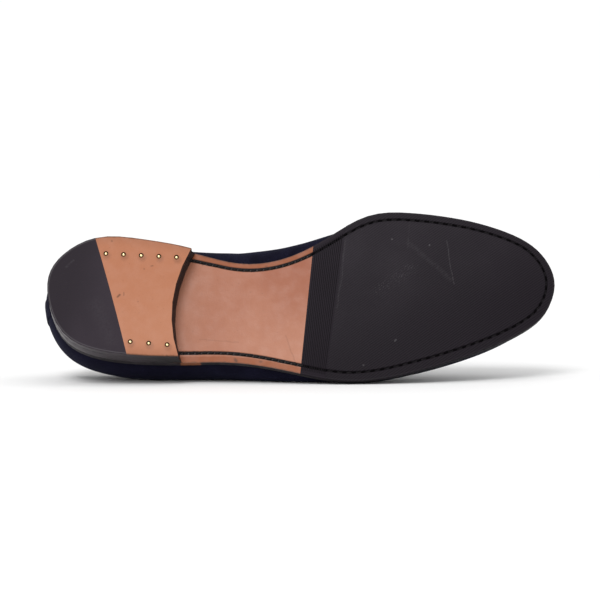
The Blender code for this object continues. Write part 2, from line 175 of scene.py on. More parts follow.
class Nearest:
    """Finds how far points are from the nearest of some targets, in plan or in space."""

    def __init__(self, targets: np.ndarray) -> None:
        """Sorts the targets.

        Args:
            targets: Points with two or three numbers each.
        """
        self.width = targets.shape[1]
        self.tree = KDTree(len(targets))
        for index, target in enumerate(self.spatial(targets)):
            self.tree.insert(target, index)
        self.tree.balance()

    def spatial(self, points: np.ndarray) -> np.ndarray:
        """Points with as many numbers as the targets have, filled up to three.

        Args:
            points: Points, one per row.

        Returns:
            The filled points.
        """
        filled = np.zeros((len(points), 3))
        filled[:, : self.width] = points[:, : self.width]
        return filled

    def gaps(self, points: np.ndarray) -> np.ndarray:
        """Distance of each point."""
        return np.array([self.tree.find(point)[2] for point in self.spatial(points)])


class NodeSurface:
    """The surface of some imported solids, in the shoe's frame, for finding heights and nearest points."""

    START_MM = 400.0

    def __init__(self, shoe: ShoeFrame, *nodes: str) -> None:
        """Reads the solids' meshes.

        Args:
            shoe: The shoe's frame.
            nodes: The solids' names.
        """
        points: list[Vector] = []
        faces: list[list[int]] = []
        for node in nodes:
            mesh = frame["nodes"][node].data
            base = len(points)
            points.extend(shoe.to_shoe @ vertex.co for vertex in mesh.vertices)
            faces.extend([base + index for index in face.vertices] for face in mesh.polygons)
        self.tree = BVHTree.FromPolygons(points, faces)

    def heights(self, plan: np.ndarray, side: Side, fallback: float = 0.0) -> np.ndarray:
        """Heights of the surface over plan points.

        Args:
            plan: The plan points.
            side: Whether the surface is seen from below or from above.
            fallback: The height where there is no surface.

        Returns:
            One height per point.
        """
        found = []
        for x, y in plan:
            start = Vector((x, y, -side.value * self.START_MM))
            hit = self.tree.ray_cast(start, Vector((0.0, 0.0, side.value)))[0]
            found.append(hit.z if hit else fallback)
        return np.array(found)

    def nearest(self, points: np.ndarray) -> tuple[np.ndarray, np.ndarray]:
        """The nearest surface points and their normals."""
        hits = [self.tree.find_nearest(Vector(point)) for point in points]
        return np.array([hit[0] for hit in hits]), np.array([hit[1] for hit in hits])


class SoleOutline:
    """The sole's outline in plan, read off the outsole's wall: a closed line heel, lateral, toe, medial."""

    STEP = 1.0
    WALL_TILT = 0.3
    EASE = 3
    STEP_WALL_X = (130.0, 172.0)
    STEP_WALL_TURN = 0.75
    BORDER_STEP = 0.5

    def __init__(self, shoe: ShoeFrame) -> None:
        """Sorts the wall's points into the two sides and joins them into a loop.

        Args:
            shoe: The shoe's frame.
        """
        mesh = frame["nodes"]["outsole"].data
        turn = shoe.to_shoe.to_3x3()
        wall: set[Plan] = set()
        rear, front = self.STEP_WALL_X
        for face in mesh.polygons:
            normal = (turn @ face.normal).normalized()
            corners = [shoe.to_shoe @ mesh.vertices[index].co for index in face.vertices]
            inside = rear < corners[0].x < front and abs(normal.x) > self.STEP_WALL_TURN
            if abs(normal.z) < self.WALL_TILT and not inside:
                wall.update((round(corner.x, 2), round(corner.y, 2)) for corner in corners)
        points = np.array(sorted(wall))
        heel, toe = points[0], points[-1]
        middle = np.interp(points[:, 0], (heel[0], toe[0]), (heel[1], toe[1]))
        lateral, medial = points[points[:, 1] >= middle], points[points[:, 1] < middle]
        loop = resampled(np.vstack((lateral, medial[::-1])), self.STEP, closed=True)
        self.loop = eased(loop, self.EASE)
        along = np.roll(self.loop, -1, axis=0) - np.roll(self.loop, 1, axis=0)
        across = np.stack((-along[:, 1], along[:, 0]), axis=1)
        self.normals = across / np.linalg.norm(across, axis=1, keepdims=True)
        self.border = Nearest(resampled(self.loop, self.BORDER_STEP, closed=True))

    def inner_line(self, start_x: float, insets: Sequence["Inset"]) -> np.ndarray:
        """A line inside the outline, from the lateral side round the toe to the medial side.

        Args:
            start_x: Where the line starts on both sides.
            insets: How far inside it runs, along its length.

        Returns:
            Plan points about a step apart.
        """
        front = np.flatnonzero(self.loop[:, 0] > start_x)
        share = np.linspace(0.0, 1.0, len(front))
        inset = np.interp(share, [row.share for row in insets], [row.inset for row in insets])
        return self.loop[front] - self.normals[front] * inset[:, None]

    def depth(self, points: np.ndarray) -> np.ndarray:
        """How far inside the outline plan points lie."""
        return self.border.gaps(points)


@dataclass(frozen=True)
class Inset:
    """Distance of a seam from the sole's edge, at a share of the seam's length."""

    share: float
    inset: float


class ShoeMesh:
    """A mesh that is shaped in the shoe's frame, in millimetres, before it becomes a piece."""

    WELD = 0.003
    PAIR_DEG = 25.0
    PAIR_SHAPE_DEG = 70.0
    SHARP_DEG = 40.0
    ROUND_SEGMENTS = 3
    EASE_SEGMENTS = 2
    MOST_SPLITS = 12

    def __init__(self, shoe: ShoeFrame) -> None:
        """Starts an empty mesh."""
        self.shoe = shoe
        self.builder = bmesh.new()

    @classmethod
    def of_node(cls, shoe: ShoeFrame, node: str) -> "ShoeMesh":
        """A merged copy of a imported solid's mesh, with triangle pairs joined to four-sided faces.

        Args:
            shoe: The shoe's frame.
            node: The solid's name.

        Returns:
            The copy.
        """
        made = cls(shoe)
        source = frame["nodes"][node].data
        points = [made.builder.verts.new(shoe.to_shoe @ vertex.co) for vertex in source.vertices]
        for face in source.polygons:
            made.builder.faces.new([points[index] for index in face.vertices])
        bmesh.ops.remove_doubles(made.builder, verts=made.builder.verts, dist=cls.WELD)
        bmesh.ops.join_triangles(
            made.builder,
            faces=made.builder.faces,
            angle_face_threshold=math.radians(cls.PAIR_DEG),
            angle_shape_threshold=math.radians(cls.PAIR_SHAPE_DEG),
        )
        return made

    def points(self) -> np.ndarray:
        """All points, one per row."""
        return np.array([vertex.co for vertex in self.builder.verts])

    def normals(self) -> np.ndarray:
        """All points' normals, one per row."""
        self.builder.normal_update()
        return np.array([vertex.normal for vertex in self.builder.verts])

    def move(self, points: np.ndarray) -> None:
        """Puts all points to new places.

        Args:
            points: The new places, in the points' order.
        """
        for vertex, point in zip(self.builder.verts, points):
            vertex.co = point
        self.builder.normal_update()

    def modify(self, kind: str, **settings: Any) -> None:
        """Applies one of Blender's modifiers.

        Args:
            kind: The modifier's type.
            settings: Its properties.
        """
        mesh = bpy.data.meshes.new("work")
        self.builder.to_mesh(mesh)
        self.builder.free()
        holder = bpy.data.objects.new("work", mesh)
        bpy.context.scene.collection.objects.link(holder)
        modifier = holder.modifiers.new("shape", kind)
        for name, value in settings.items():
            setattr(modifier, name, value)
        graph = bpy.context.evaluated_depsgraph_get()
        shaped = bpy.data.meshes.new_from_object(holder.evaluated_get(graph))
        self.builder = bmesh.new()
        self.builder.from_mesh(shaped)
        bpy.data.objects.remove(holder)
        bpy.data.meshes.remove(mesh)
        bpy.data.meshes.remove(shaped)

    def round_edges(self, width: float, chosen: Callable[[np.ndarray], np.ndarray]) -> None:
        """Rounds the sharp edges whose middles are chosen.

        Args:
            width: How far the round reaches.
            chosen: Tells for an array of points which are on an edge to round.
        """
        self.builder.normal_update()
        weight = self.builder.edges.layers.float.new("bevel_weight_edge")
        sharp = math.radians(self.SHARP_DEG)
        edges = [edge for edge in self.builder.edges if edge.calc_face_angle(0.0) > sharp]
        middles = np.array([(edge.verts[0].co + edge.verts[1].co) / 2.0 for edge in edges])
        for edge, take in zip(edges, chosen(middles)):
            edge[weight] = float(take)
        self.modify("BEVEL", width=width, segments=self.ROUND_SEGMENTS, limit_method="WEIGHT")

    def ease(self, width: float, angle_deg: float = SHARP_DEG) -> None:
        """Eases all edges that are sharper than an angle.

        Args:
            width: How far the eased edge reaches.
            angle_deg: The angle.
        """
        limit = math.radians(angle_deg)
        segments = self.EASE_SEGMENTS
        self.modify("BEVEL", width=width, segments=segments, limit_method="ANGLE", angle_limit=limit)

    def refine(self, gap: Callable[[np.ndarray], np.ndarray], reach: float, length: float) -> None:
        """Splits long edges that come near something, until all there are at most length long.

        Args:
            gap: Gives for an array of points how far each is from that thing.
            reach: How near an edge has to come.
            length: Longest edge that stays.
        """
        for _ in range(self.MOST_SPLITS):
            edges = list(self.builder.edges)
            ends = np.array([[end.co for end in edge.verts] for edge in edges])
            sizes = np.linalg.norm(ends[:, 1] - ends[:, 0], axis=1)
            close = gap(ends.mean(axis=1)) < reach + sizes / 2.0
            chosen = [edge for edge, split in zip(edges, close & (sizes > length)) if split]
            if not chosen:
                break
            bmesh.ops.subdivide_edges(self.builder, edges=chosen, cuts=1)
            wide = [face for face in self.builder.faces if len(face.verts) > 4]
            bmesh.ops.triangulate(self.builder, faces=wide)

    def measure(self, name: str, values: np.ndarray) -> None:
        """Stores one number per point, for a finish to read.

        Args:
            name: The number's name.
            values: One per point.
        """
        layer = self.builder.verts.layers.float.new(name)
        for vertex, value in zip(self.builder.verts, values):
            vertex[layer] = float(value)

    def paint(self, chooser: Callable[[Vector, Vector], int]) -> None:
        """Sets each face's material.

        Args:
            chooser: Gives a material's number from a face's centre and its normal.
        """
        self.builder.normal_update()
        for face in self.builder.faces:
            face.material_index = chooser(face.calc_center_median(), face.normal)

    def piece(
        self,
        name: str,
        finishes: Sequence["Finish"],
        slot: Slot,
        replaces: Sequence[str] = (),
        sharp_deg: float = SHARP_DEG,
    ) -> bpy.types.Object:
        """Turns the mesh into a piece of the object.

        Args:
            name: The piece's name.
            finishes: Its finishes, in the order of its material numbers.
            slot: Not used.
            replaces: The solids that it stands for.
            sharp_deg: Angle past which an edge is shaded sharp.

        Returns:
            The new object, which rides on the shoe's one body.
        """
        plan = self.builder.loops.layers.uv.new("plan")
        for face in self.builder.faces:
            for loop in face.loops:
                loop[plan].uv = (loop.vert.co.x / UV_MM, loop.vert.co.y / UV_MM)
        mesh = bpy.data.meshes.new(name)
        self.builder.to_mesh(mesh)
        self.builder.free()
        mesh.transform(self.shoe.to_row)
        mesh.shade_smooth()
        mesh.set_sharp_from_angle(angle=math.radians(sharp_deg))
        return add_piece(name, mesh, finishes, replaces)


def add_piece(
    name: str,
    mesh: bpy.types.Mesh,
    finishes: Sequence["Finish"],
    replaces: Sequence[str] = (),
) -> bpy.types.Object:
    """Adds a mesh in the row frame to the object, as a piece that rides on the shoe's one body.

    Args:
        name: The piece's name.
        mesh: Its mesh, with its materials or without any.
        finishes: The finishes for a mesh without materials.
        replaces: The solids that it stands for.

    Returns:
        The new object.
    """
    if not mesh.materials:
        for finish in finishes:
            mesh.materials.append(finish.material())
    made = bpy.data.objects.new(name, mesh)
    bpy.context.scene.collection.objects.link(made)
    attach(made, BODY)
    if replaces:
        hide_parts(*replaces)
    LOG.info("%s: %d faces", name, len(mesh.polygons))
    return made


class Nodes:
    """Adds nodes to a tree and links them."""

    FLAT = (1.0, 1.0, 0.0)
    NOISE_MIDDLE = (0.5, 0.5, 0.5)
    WAVER_DETAIL = 2.0

    def __init__(self, tree: bpy.types.NodeTree) -> None:
        """Keeps the tree."""
        self.tree = tree

    def add(self, kind: str, inputs: dict | None = None, **settings: Any) -> bpy.types.Node:
        """Adds one node.

        Args:
            kind: The node's type.
            inputs: Values or sockets for its inputs, by name or number.
            settings: The node's own properties.

        Returns:
            The new node.
        """
        node = self.tree.nodes.new(kind)
        for name, value in settings.items():
            setattr(node, name, value)
        for key, value in (inputs or {}).items():
            if isinstance(value, bpy.types.NodeSocket):
                self.tree.links.new(value, node.inputs[key])
            else:
                node.inputs[key].default_value = value
        return node

    def made(self, kind: str, inputs: dict | None = None, **settings: Any) -> bpy.types.NodeSocket:
        """The first output of a node that is added."""
        return self.add(kind, inputs, **settings).outputs[0]

    def math(self, operation: str, first: Any, second: Any = 0.0) -> bpy.types.NodeSocket:
        """A sum, product or the like of two numbers."""
        return self.made("ShaderNodeMath", {0: first, 1: second}, operation=operation)

    def vector(self, operation: str, first: Any, second: Any) -> bpy.types.NodeSocket:
        """A sum, product or the like of two vectors."""
        return self.made("ShaderNodeVectorMath", {0: first, 1: second}, operation=operation)

    def scaled(self, vector: Any, factor: Any) -> bpy.types.NodeSocket:
        """A vector times a number."""
        return self.made("ShaderNodeVectorMath", {0: vector, 3: factor}, operation="SCALE")

    def dot(self, first: Any, second: Any) -> bpy.types.NodeSocket:
        """The dot product of two vectors."""
        inputs = {0: first, 1: second}
        return self.add("ShaderNodeVectorMath", inputs, operation="DOT_PRODUCT").outputs["Value"]

    def noise(self, place: Any, scale: float, detail: float = 3.0) -> bpy.types.NodeSocket:
        """Cloudy noise from 0 to 1."""
        return self.made("ShaderNodeTexNoise", {"Vector": place, "Scale": scale, "Detail": detail})

    def step(
        self, value: Any, low: float, high: float, first: float = 0.0, last: float = 1.0
    ) -> bpy.types.NodeSocket:
        """A smooth step of a number, from first at low to last at high."""
        inputs = {"Value": value, "From Min": low, "From Max": high, "To Min": first, "To Max": last}
        return self.made("ShaderNodeMapRange", inputs, interpolation_type="SMOOTHSTEP")

    def mix(self, share: Any, first: Any, second: Any) -> bpy.types.NodeSocket:
        """A mix of two colours.

        Args:
            share: How much of the second colour there is.
            first: A colour, or the socket of one.
            second: The other colour, or the socket of one.

        Returns:
            The mixed colour.
        """
        colors = [
            value if isinstance(value, bpy.types.NodeSocket) else (*value, 1.0) for value in (first, second)
        ]
        inputs = {0: share, 6: colors[0], 7: colors[1]}
        return self.add("ShaderNodeMix", inputs, data_type="RGBA").outputs[2]

    def measured(self, name: str) -> bpy.types.NodeSocket:
        """A number that the mesh stores for each point."""
        return self.add("ShaderNodeAttribute", attribute_name=name).outputs["Fac"]

    def object_place(self) -> bpy.types.NodeSocket:
        """Place in the row frame, in metres."""
        return self.add("ShaderNodeTexCoord").outputs["Object"]

    def plan_place(self) -> bpy.types.NodeSocket:
        """Place in the shoe's plan, in millimetres."""
        return self.scaled(self.made("ShaderNodeUVMap", uv_map="plan"), UV_MM)

    def bump(self, height: Any, depth_mm: float, under: Any = None) -> bpy.types.NodeSocket:
        """A surface normal from a height between 0 and 1.

        Args:
            height: The height.
            depth_mm: What a height of 1 is worth.
            under: The normal that it is laid over, where it isn't the surface's own.

        Returns:
            The new normal.
        """
        inputs = {"Height": height, "Distance": depth_mm * MM, "Strength": 1.0}
        if under is not None:
            inputs["Normal"] = under
        return self.made("ShaderNodeBump", inputs)

    def wavering(self, place: Any, plan: Any, scale: float, reach: float) -> bpy.types.NodeSocket:
        """Plan places shifted by soft noise, so that strokes on them aren't straight.

        Args:
            place: Place in the row frame, for the noise.
            plan: Place in the shoe's plan.
            scale: The noise's scale.
            reach: How far it shifts at most, in millimetres.

        Returns:
            The shifted plan places.
        """
        inputs = {"Vector": place, "Scale": scale, "Detail": self.WAVER_DETAIL}
        noise = self.add("ShaderNodeTexNoise", inputs).outputs["Color"]
        centred = self.vector("SUBTRACT", noise, self.NOISE_MIDDLE)
        return self.vector("ADD", plan, self.scaled(centred, 2.0 * reach))

    def stroke(self, place: Any, start: Plan, end: Plan, width: float) -> bpy.types.NodeSocket:
        """1 on a stroke between two plan points, fading to 0 at its width; a dot where they are the same.

        Args:
            place: Place in the shoe's plan.
            start: The stroke's start.
            end: The stroke's end.
            width: Half the stroke's width.

        Returns:
            The stroke's share.
        """
        away = self.vector("SUBTRACT", self.vector("MULTIPLY", place, self.FLAT), (*start, 0.0))
        run = (Vector(end) - Vector(start)).to_3d()
        if run.length > 0:
            share = self.made("ShaderNodeClamp", {"Value": self.dot(away, run / run.length_squared)})
            away = self.vector("SUBTRACT", away, self.scaled(run, share))
        gap = self.add("ShaderNodeVectorMath", {0: away}, operation="LENGTH").outputs["Value"]
        return self.step(gap, 0.0, width, 1.0, 0.0)


@dataclass(frozen=True)
class Cloud:
    """Cloudy noise: its scale, its detail, and the values between which it is stepped."""

    scale: float
    detail: float = 3.0
    low: float = 0.0
    high: float = 1.0

    def noise(self, nodes: Nodes, place: Any) -> bpy.types.NodeSocket:
        """The plain noise."""
        return nodes.noise(place, self.scale, self.detail)

    def share(
        self, nodes: Nodes, place: Any, first: float = 0.0, last: float = 1.0
    ) -> bpy.types.NodeSocket:
        """The noise stepped, from first at its low value to last at its high one."""
        return nodes.step(self.noise(nodes, place), self.low, self.high, first, last)


@dataclass(frozen=True)
class Fade:
    """A share that is full up to a near distance and gone at a far one, in millimetres."""

    near: float
    far: float
    full: float

    def share(self, nodes: Nodes, gap: Any) -> bpy.types.NodeSocket:
        """The share at a distance."""
        return nodes.step(gap, self.near, self.far, self.full, 0.0)


@dataclass(frozen=True)
class Finish:
    """A surface finish: one material, with its own nodes added by the kinds below."""

    name: str
    color: Color
    roughness: float
    coat: float = 0.0
    metallic: float = 0.0
    specular: float = 0.5

    COAT_ROUGHNESS = 0.25
    CLOUDS = Cloud(350.0)
    CLOUD_SHADE = 0.75
    GRAIN = Cloud(1800.0)
    GRAIN_MM = 0.03

    def material(self) -> bpy.types.Material:
        """The finish's material, made on first use.

        Returns:
            The material.
        """
        made = bpy.data.materials.get(self.name)
        if made is None:
            made = bpy.data.materials.new(self.name)
            made.use_nodes = True
            shader = made.node_tree.nodes["Principled BSDF"]
            shader.inputs["Base Color"].default_value = (*self.color, 1.0)
            shader.inputs["Roughness"].default_value = self.roughness
            shader.inputs["Metallic"].default_value = self.metallic
            shader.inputs["Specular IOR Level"].default_value = self.specular
            shader.inputs["Coat Weight"].default_value = self.coat
            shader.inputs["Coat Roughness"].default_value = self.COAT_ROUGHNESS
            made.diffuse_color = (*self.color, 1.0)
            self.dress(Nodes(made.node_tree), shader)
        return made

    def dress(self, nodes: Nodes, shader: bpy.types.Node) -> None:
        """Adds a light unevenness of colour and surface.

        Args:
            nodes: The material's nodes.
            shader: Its shader.
        """
        place = nodes.object_place()
        cloud = self.CLOUDS.noise(nodes, place)
        darker = tuple(self.CLOUD_SHADE * value for value in self.color)
        link = nodes.tree.links.new
        link(nodes.mix(cloud, darker, self.color), shader.inputs["Base Color"])
        link(nodes.bump(self.GRAIN.noise(nodes, place), self.GRAIN_MM), shader.inputs["Normal"])


@dataclass(frozen=True)
class Nap(Finish):
    """Matt napped leather with soft clouds, a fine pile and painted light that makes its lateral side paler.
    """

    light: Color = (0.0082, 0.0078, 0.0195)
    lit_lateral_mm: float = 24.0
    sheen: float = 0.04

    BRUSHED = Cloud(90.0, 5.0, 0.35, 0.68)
    PILE = Cloud(1500.0, 6.0, 0.3, 0.75)
    PILE_MM = 0.35
    LIT_LATERAL_SHARE = 0.45
    SHEEN_ROUGHNESS = 0.45
    SHEEN_TINT = (0.35, 0.38, 0.7)

    def dress(self, nodes: Nodes, shader: bpy.types.Node) -> None:
        """Adds the mottled pile, its brushed clouds, painted light on the lateral side and a soft sheen.

        Args:
            nodes: The material's nodes.
            shader: Its shader.
        """
        place = nodes.object_place()
        brushed = self.BRUSHED.share(nodes, place)
        pile = self.PILE.noise(nodes, place)
        share = nodes.math("MULTIPLY", brushed, nodes.step(pile, self.PILE.low, self.PILE.high))
        across = nodes.add("ShaderNodeSeparateXYZ", {0: nodes.plan_place()}).outputs["Y"]
        # Painted light: the nap is paler towards the lateral side, standing in for the light on the upper's
        # lower side.
        painted_lateral_light = nodes.step(across, 0.0, self.lit_lateral_mm, 0.0, self.LIT_LATERAL_SHARE)
        link = nodes.tree.links.new
        color = nodes.mix(nodes.math("ADD", share, painted_lateral_light), self.color, self.light)
        link(color, shader.inputs["Base Color"])
        link(nodes.bump(pile, self.PILE_MM), shader.inputs["Normal"])
        shader.inputs["Sheen Weight"].default_value = self.sheen
        shader.inputs["Sheen Roughness"].default_value = self.SHEEN_ROUGHNESS
        shader.inputs["Sheen Tint"].default_value = (*self.SHEEN_TINT, 1.0)


@dataclass(frozen=True)
class Mark:
    """A stroke or a dot on a sole, in plan millimetres, with its half width and its strength."""

    start: Plan
    end: Plan
    width: float
    strength: float
    speckled: bool = False

    def share(self, nodes: Nodes, place: Any) -> bpy.types.NodeSocket:
        """How much the mark covers, at a place in plan."""
        return nodes.math("MULTIPLY", nodes.stroke(place, self.start, self.end, self.width), self.strength)


@dataclass(frozen=True)
class SoleLeather(Finish):
    """Smooth tan sole leather: an orange margin outside the seam, pores, clouds, dark nail dents and painted
    light.
    """

    pale: Color = (0.338, 0.157, 0.101)
    margin: Color = (0.178, 0.0475, 0.0135)
    stain_and_shadow: Color = (0.06, 0.024, 0.012)
    margin_mm: float = 4.2
    margin_blur: float = 1.0
    lit_lateral_x: tuple[float, float] = (95.0, 140.0)
    marks: tuple[Mark, ...] = ()

    CLOUDS = Cloud(55.0, 5.0, 0.32, 0.7)
    CLOUD_SHARE = 0.14
    # Painted light: paler towards the lateral side and towards the heel.
    LIT_LATERAL_Y = (-25.0, 38.0)
    LIT_LATERAL_SHARE = 0.6
    LIT_REAR = Fade(85.0, 150.0, 0.45)
    RAGGED = Cloud(500.0)
    RAGGED_MM = 1.2
    MARGIN_SHARE = 0.85
    MARGIN_OUTSIDE = 0.6
    EDGE_STAIN = Fade(0.1, 1.1, 0.75)
    SEAM_STAIN = Fade(0.8, 1.5, 0.9)
    CHANNEL = Fade(0.5, 0.95, 0.95)
    CHANNEL_COLOR = (0.006, 0.004, 0.004)
    HALO_STAIN_AND_SHADOW = Fade(1.4, 4.2, 0.32)
    HALO_CLOUDS = Cloud(400.0)
    HALO_BLUR_MM = 1.5
    DENT = Fade(1.1, 1.7, 0.5)
    PORES = Cloud(900.0, 2.0, 0.68, 0.78)
    PORE_SHARE = 0.28
    WAVER_SCALE = 80.0
    WAVER_MM = 2.4
    RUBBED = Cloud(160.0, 4.0, 0.3, 0.7)
    SMOOTHER = 0.08
    ROUGHER = 0.1
    GRAIN = Cloud(1400.0, 4.0)
    GRAIN_MM = 0.04
    UNEVEN = Cloud(220.0)
    UNEVEN_MM = 0.12

    def dress(self, nodes: Nodes, shader: bpy.types.Node) -> None:
        """Adds clouds, painted light, pores, the margin, the seam's dark channel, nail dents, a halo by each
        nail that is partly painted shadow, and marks.

        Args:
            nodes: The material's nodes.
            shader: Its shader.
        """
        link = nodes.tree.links.new
        place, plan = nodes.object_place(), nodes.plan_place()
        cloud = self.CLOUDS.share(nodes, place)
        parts = nodes.add("ShaderNodeSeparateXYZ", {0: plan}).outputs
        # Painted light: paler towards the lateral side, where light falls, but less so near the heel, whose
        # breast shades the waist.
        lateral = nodes.step(parts["Y"], *self.LIT_LATERAL_Y, 0.0, self.LIT_LATERAL_SHARE)
        lateral = nodes.math("MULTIPLY", lateral, nodes.step(parts["X"], *self.lit_lateral_x))
        # Painted light: paler towards the heel, to lift the shade that the heel block throws on the waist.
        rear = self.LIT_REAR.share(nodes, parts["X"])
        cloudy = nodes.math("MULTIPLY", cloud, self.CLOUD_SHARE)
        share = nodes.math("ADD", cloudy, nodes.math("ADD", lateral, rear))
        color = nodes.mix(share, self.color, self.pale)
        ragged = nodes.math("SUBTRACT", self.RAGGED.noise(nodes, place), 0.5)
        ragged = nodes.math("MULTIPLY", ragged, self.RAGGED_MM)
        edge = nodes.math("ADD", nodes.measured("edge_mm"), ragged)
        near = self.margin_mm - self.margin_blur
        far = self.margin_mm + self.MARGIN_OUTSIDE * self.margin_blur
        color = nodes.mix(Fade(near, far, self.MARGIN_SHARE).share(nodes, edge), color, self.margin)
        color = nodes.mix(self.EDGE_STAIN.share(nodes, edge), color, self.stain_and_shadow)
        seam = nodes.measured("seam_mm")
        color = nodes.mix(self.SEAM_STAIN.share(nodes, seam), color, self.stain_and_shadow)
        color = nodes.mix(self.CHANNEL.share(nodes, seam), color, self.CHANNEL_COLOR)
        nail = nodes.measured("nail_mm")
        # A soft brown halo offset below and right of each nail: partly a stain, partly the head's painted
        # shadow.
        blurred = nodes.math("MULTIPLY", self.HALO_CLOUDS.noise(nodes, place), self.HALO_BLUR_MM)
        halo_gap = nodes.math("ADD", nodes.measured("halo_shadow_mm"), blurred)
        color = nodes.mix(self.HALO_STAIN_AND_SHADOW.share(nodes, halo_gap), color, self.stain_and_shadow)
        color = nodes.mix(self.DENT.share(nodes, nail), color, self.stain_and_shadow)
        color = nodes.mix(self.PORES.share(nodes, place, 0.0, self.PORE_SHARE), color, self.stain_and_shadow)
        strayed = nodes.wavering(place, plan, self.WAVER_SCALE, self.WAVER_MM)
        for mark in self.marks:
            color = nodes.mix(mark.share(nodes, strayed), color, self.stain_and_shadow)
        link(color, shader.inputs["Base Color"])
        least, most = self.roughness - self.SMOOTHER, self.roughness + self.ROUGHER
        link(self.RUBBED.share(nodes, place, least, most), shader.inputs["Roughness"])
        grain = nodes.bump(self.GRAIN.noise(nodes, place), self.GRAIN_MM)
        uneven = nodes.bump(self.UNEVEN.noise(nodes, place), self.UNEVEN_MM, grain)
        link(uneven, shader.inputs["Normal"])


@dataclass(frozen=True)
class Rubber(Finish):
    """Charcoal rubber with fine slanting lines, a little dust, light scuffs and a painted highlight along
    its rim.
    """

    dust: Color = (0.0225, 0.0186, 0.0233)
    scuff_and_highlight: Color = (0.08, 0.075, 0.08)
    dust_share: float = 0.73
    dust_from: Plan = (195.0, -45.0)
    dust_to: Plan = (225.0, 30.0)
    dust_edge: tuple[float, float] = (3.0, 7.0)
    line_pitch_mm: float = 1.25
    line_angle_deg: float = -36.0
    line_depth_mm: float = 0.15
    line_shade: float = 0.14
    rim_highlight_share: float = 0.05
    marks: tuple[Mark, ...] = ()

    CLOUDS = Cloud(30.0, 8.0, 0.3, 0.75)
    LEAST_DUST = 0.5
    GROOVE_SHADE = 0.3
    RIM_START = (0.15, 0.45)
    RIM_END = (0.7, 1.1)
    FLECKS = Cloud(1300.0, 2.0, 0.70, 0.8)
    FLECK_SHARE = 0.22
    WAVER_SCALE = 60.0
    WAVER_MM = 2.0
    WORN = Cloud(900.0, 4.0, 0.35, 0.6)
    LEAST_WORN = 0.2
    SPECKS = Cloud(1500.0, 2.0, 0.58, 0.66)
    CHANNEL = Fade(0.35, 0.8, 0.9)
    CHANNEL_COLOR = (0.0024, 0.0016, 0.0024)
    GRAIN = Cloud(1600.0)
    GRAIN_MM = 0.05

    def dress(self, nodes: Nodes, shader: bpy.types.Node) -> None:
        """Adds the lines, dust, a painted highlight on the rim, the seam's dark channel and scuffs.

        Args:
            nodes: The material's nodes.
            shader: Its shader.
        """
        link = nodes.tree.links.new
        place, plan = nodes.object_place(), nodes.plan_place()
        angle = math.radians(self.line_angle_deg)
        pitch = (-math.sin(angle) / self.line_pitch_mm, math.cos(angle) / self.line_pitch_mm, 0.0)
        wave = nodes.math("SINE", nodes.math("MULTIPLY", nodes.dot(plan, pitch), 2.0 * math.pi))
        height = nodes.math("MULTIPLY", nodes.math("ADD", wave, 1.0), 0.5)
        cloud = self.CLOUDS.share(nodes, place, self.LEAST_DUST, 1.0)
        start, run = Vector(self.dust_from), Vector(self.dust_to) - Vector(self.dust_from)
        run /= run.length_squared
        gone = Fade(start.dot(run), start.dot(run) + 1.0, self.dust_share)
        fade = gone.share(nodes, nodes.dot(plan, (*run, 0.0)))
        edge = nodes.measured("edge_mm")
        inner = nodes.step(edge, *self.dust_edge, self.LEAST_DUST, 1.0)
        dusty = nodes.math("MULTIPLY", nodes.math("MULTIPLY", cloud, fade), inner)
        color = nodes.mix(dusty, self.color, self.dust)
        groove = tuple(self.GROOVE_SHADE * value for value in self.color)
        color = nodes.mix(nodes.math("MULTIPLY", height, self.line_shade), color, groove)
        # Painted highlight: a paler band just inside the rim, where its rounded edge catches light.
        painted_rim_highlight = nodes.step(edge, *self.RIM_START), nodes.step(edge, *self.RIM_END, self.rim_highlight_share, 0.0)
        color = nodes.mix(nodes.math("MULTIPLY", *painted_rim_highlight), color, self.scuff_and_highlight)
        color = nodes.mix(self.FLECKS.share(nodes, place, 0.0, self.FLECK_SHARE), color, self.scuff_and_highlight)
        strayed = nodes.wavering(place, plan, self.WAVER_SCALE, self.WAVER_MM)
        worn = self.WORN.share(nodes, place, self.LEAST_WORN, 1.0)
        specks = self.SPECKS.share(nodes, place)
        for mark in self.marks:
            broken = specks if mark.speckled else worn
            hit = nodes.math("MULTIPLY", mark.share(nodes, strayed), broken)
            color = nodes.mix(hit, color, self.scuff_and_highlight)
        seam = self.CHANNEL.share(nodes, nodes.measured("seam_mm"))
        link(nodes.mix(seam, color, self.CHANNEL_COLOR), shader.inputs["Base Color"])
        fine = nodes.bump(self.GRAIN.noise(nodes, place), self.GRAIN_MM)
        link(nodes.bump(height, self.line_depth_mm, fine), shader.inputs["Normal"])


